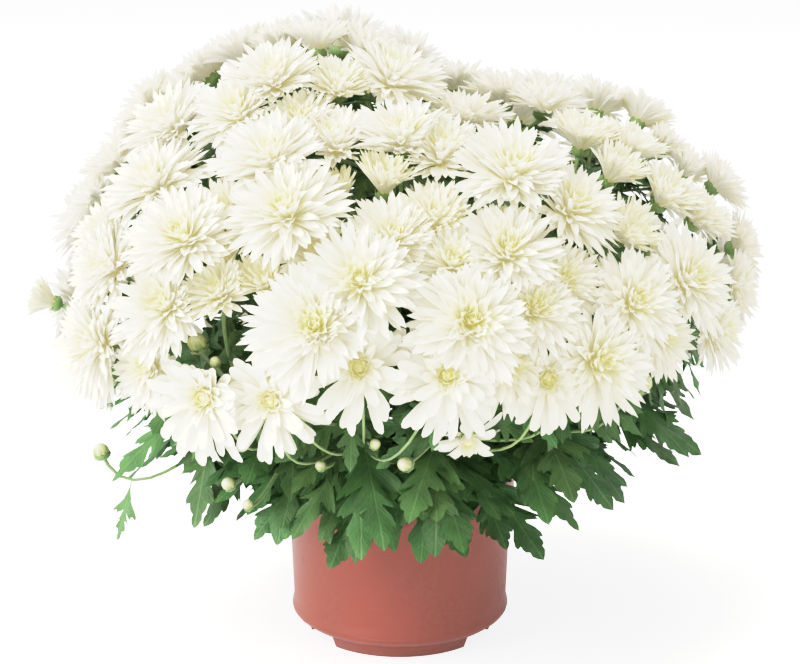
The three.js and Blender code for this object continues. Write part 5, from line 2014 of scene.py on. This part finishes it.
class MUM_OT_leaves(bpy.types.Operator):
    """The leafy stems, one piece for each shoot"""

    bl_idname = "mum.leaves"
    bl_label = "Stems and leaves"

    def execute(self, context):
        for k in range(len(plan.shoots)):
            ride_shoot(context, k)
        return {"FINISHED"}


class MUM_OT_blooms(bpy.types.Operator):
    """The blooms, one piece of petals for each shoot"""

    bl_idname = "mum.blooms"
    bl_label = "Blooms"

    def execute(self, context):
        for k in range(len(plan.shoots)):
            ride_petals(context, k)
        return {"FINISHED"}


class MUM_OT_stalks(bpy.types.Operator):
    """Stalks, cups, bracts and buds under the blooms"""

    bl_idname = "mum.stalks"
    bl_label = "Stalks and buds"

    def execute(self, context):
        for k in range(len(plan.shoots)):
            ride_stalks(context, k)
        return {"FINISHED"}


class MUM_PT_panel(bpy.types.Panel):
    bl_idname = "MUM_PT_panel"
    bl_label = "Pot chrysanthemum"
    bl_space_type = "VIEW_3D"
    bl_region_type = "UI"
    bl_category = "Chrysanthemum"

    def draw(self, context):
        layout = self.layout
        for operator in OPERATORS:
            layout.operator(operator.bl_idname)
        for group in GROUPS:
            box = layout.box()
            settings = getattr(context.scene, group)
            for key in type(settings).__annotations__:
                box.prop(settings, key)


OPERATORS = (MUM_OT_stage, MUM_OT_pot, MUM_OT_soil, MUM_OT_leaves, MUM_OT_blooms, MUM_OT_stalks)
GROUPS = {
    "mum_pot": MUM_PG_pot, "mum_soil": MUM_PG_soil,
    "mum_bloom": MUM_PG_bloom, "mum_green": MUM_PG_green,
}


def register():
    for group in GROUPS.values():
        bpy.utils.register_class(group)
    for operator in OPERATORS:
        bpy.utils.register_class(operator)
    bpy.utils.register_class(MUM_PT_panel)
    for name, group in GROUPS.items():
        setattr(bpy.types.Scene, name, PointerProperty(type=group))


def unregister():
    for name in GROUPS:
        delattr(bpy.types.Scene, name)
    bpy.utils.unregister_class(MUM_PT_panel)
    for operator in reversed(OPERATORS):
        bpy.utils.unregister_class(operator)
    for group in GROUPS.values():
        bpy.utils.unregister_class(group)


def main():
    register()
    for operator in OPERATORS:
        family, name = operator.bl_idname.split(".")
        getattr(getattr(bpy.ops, family), name)()


if __name__ == "__main__":
    main()
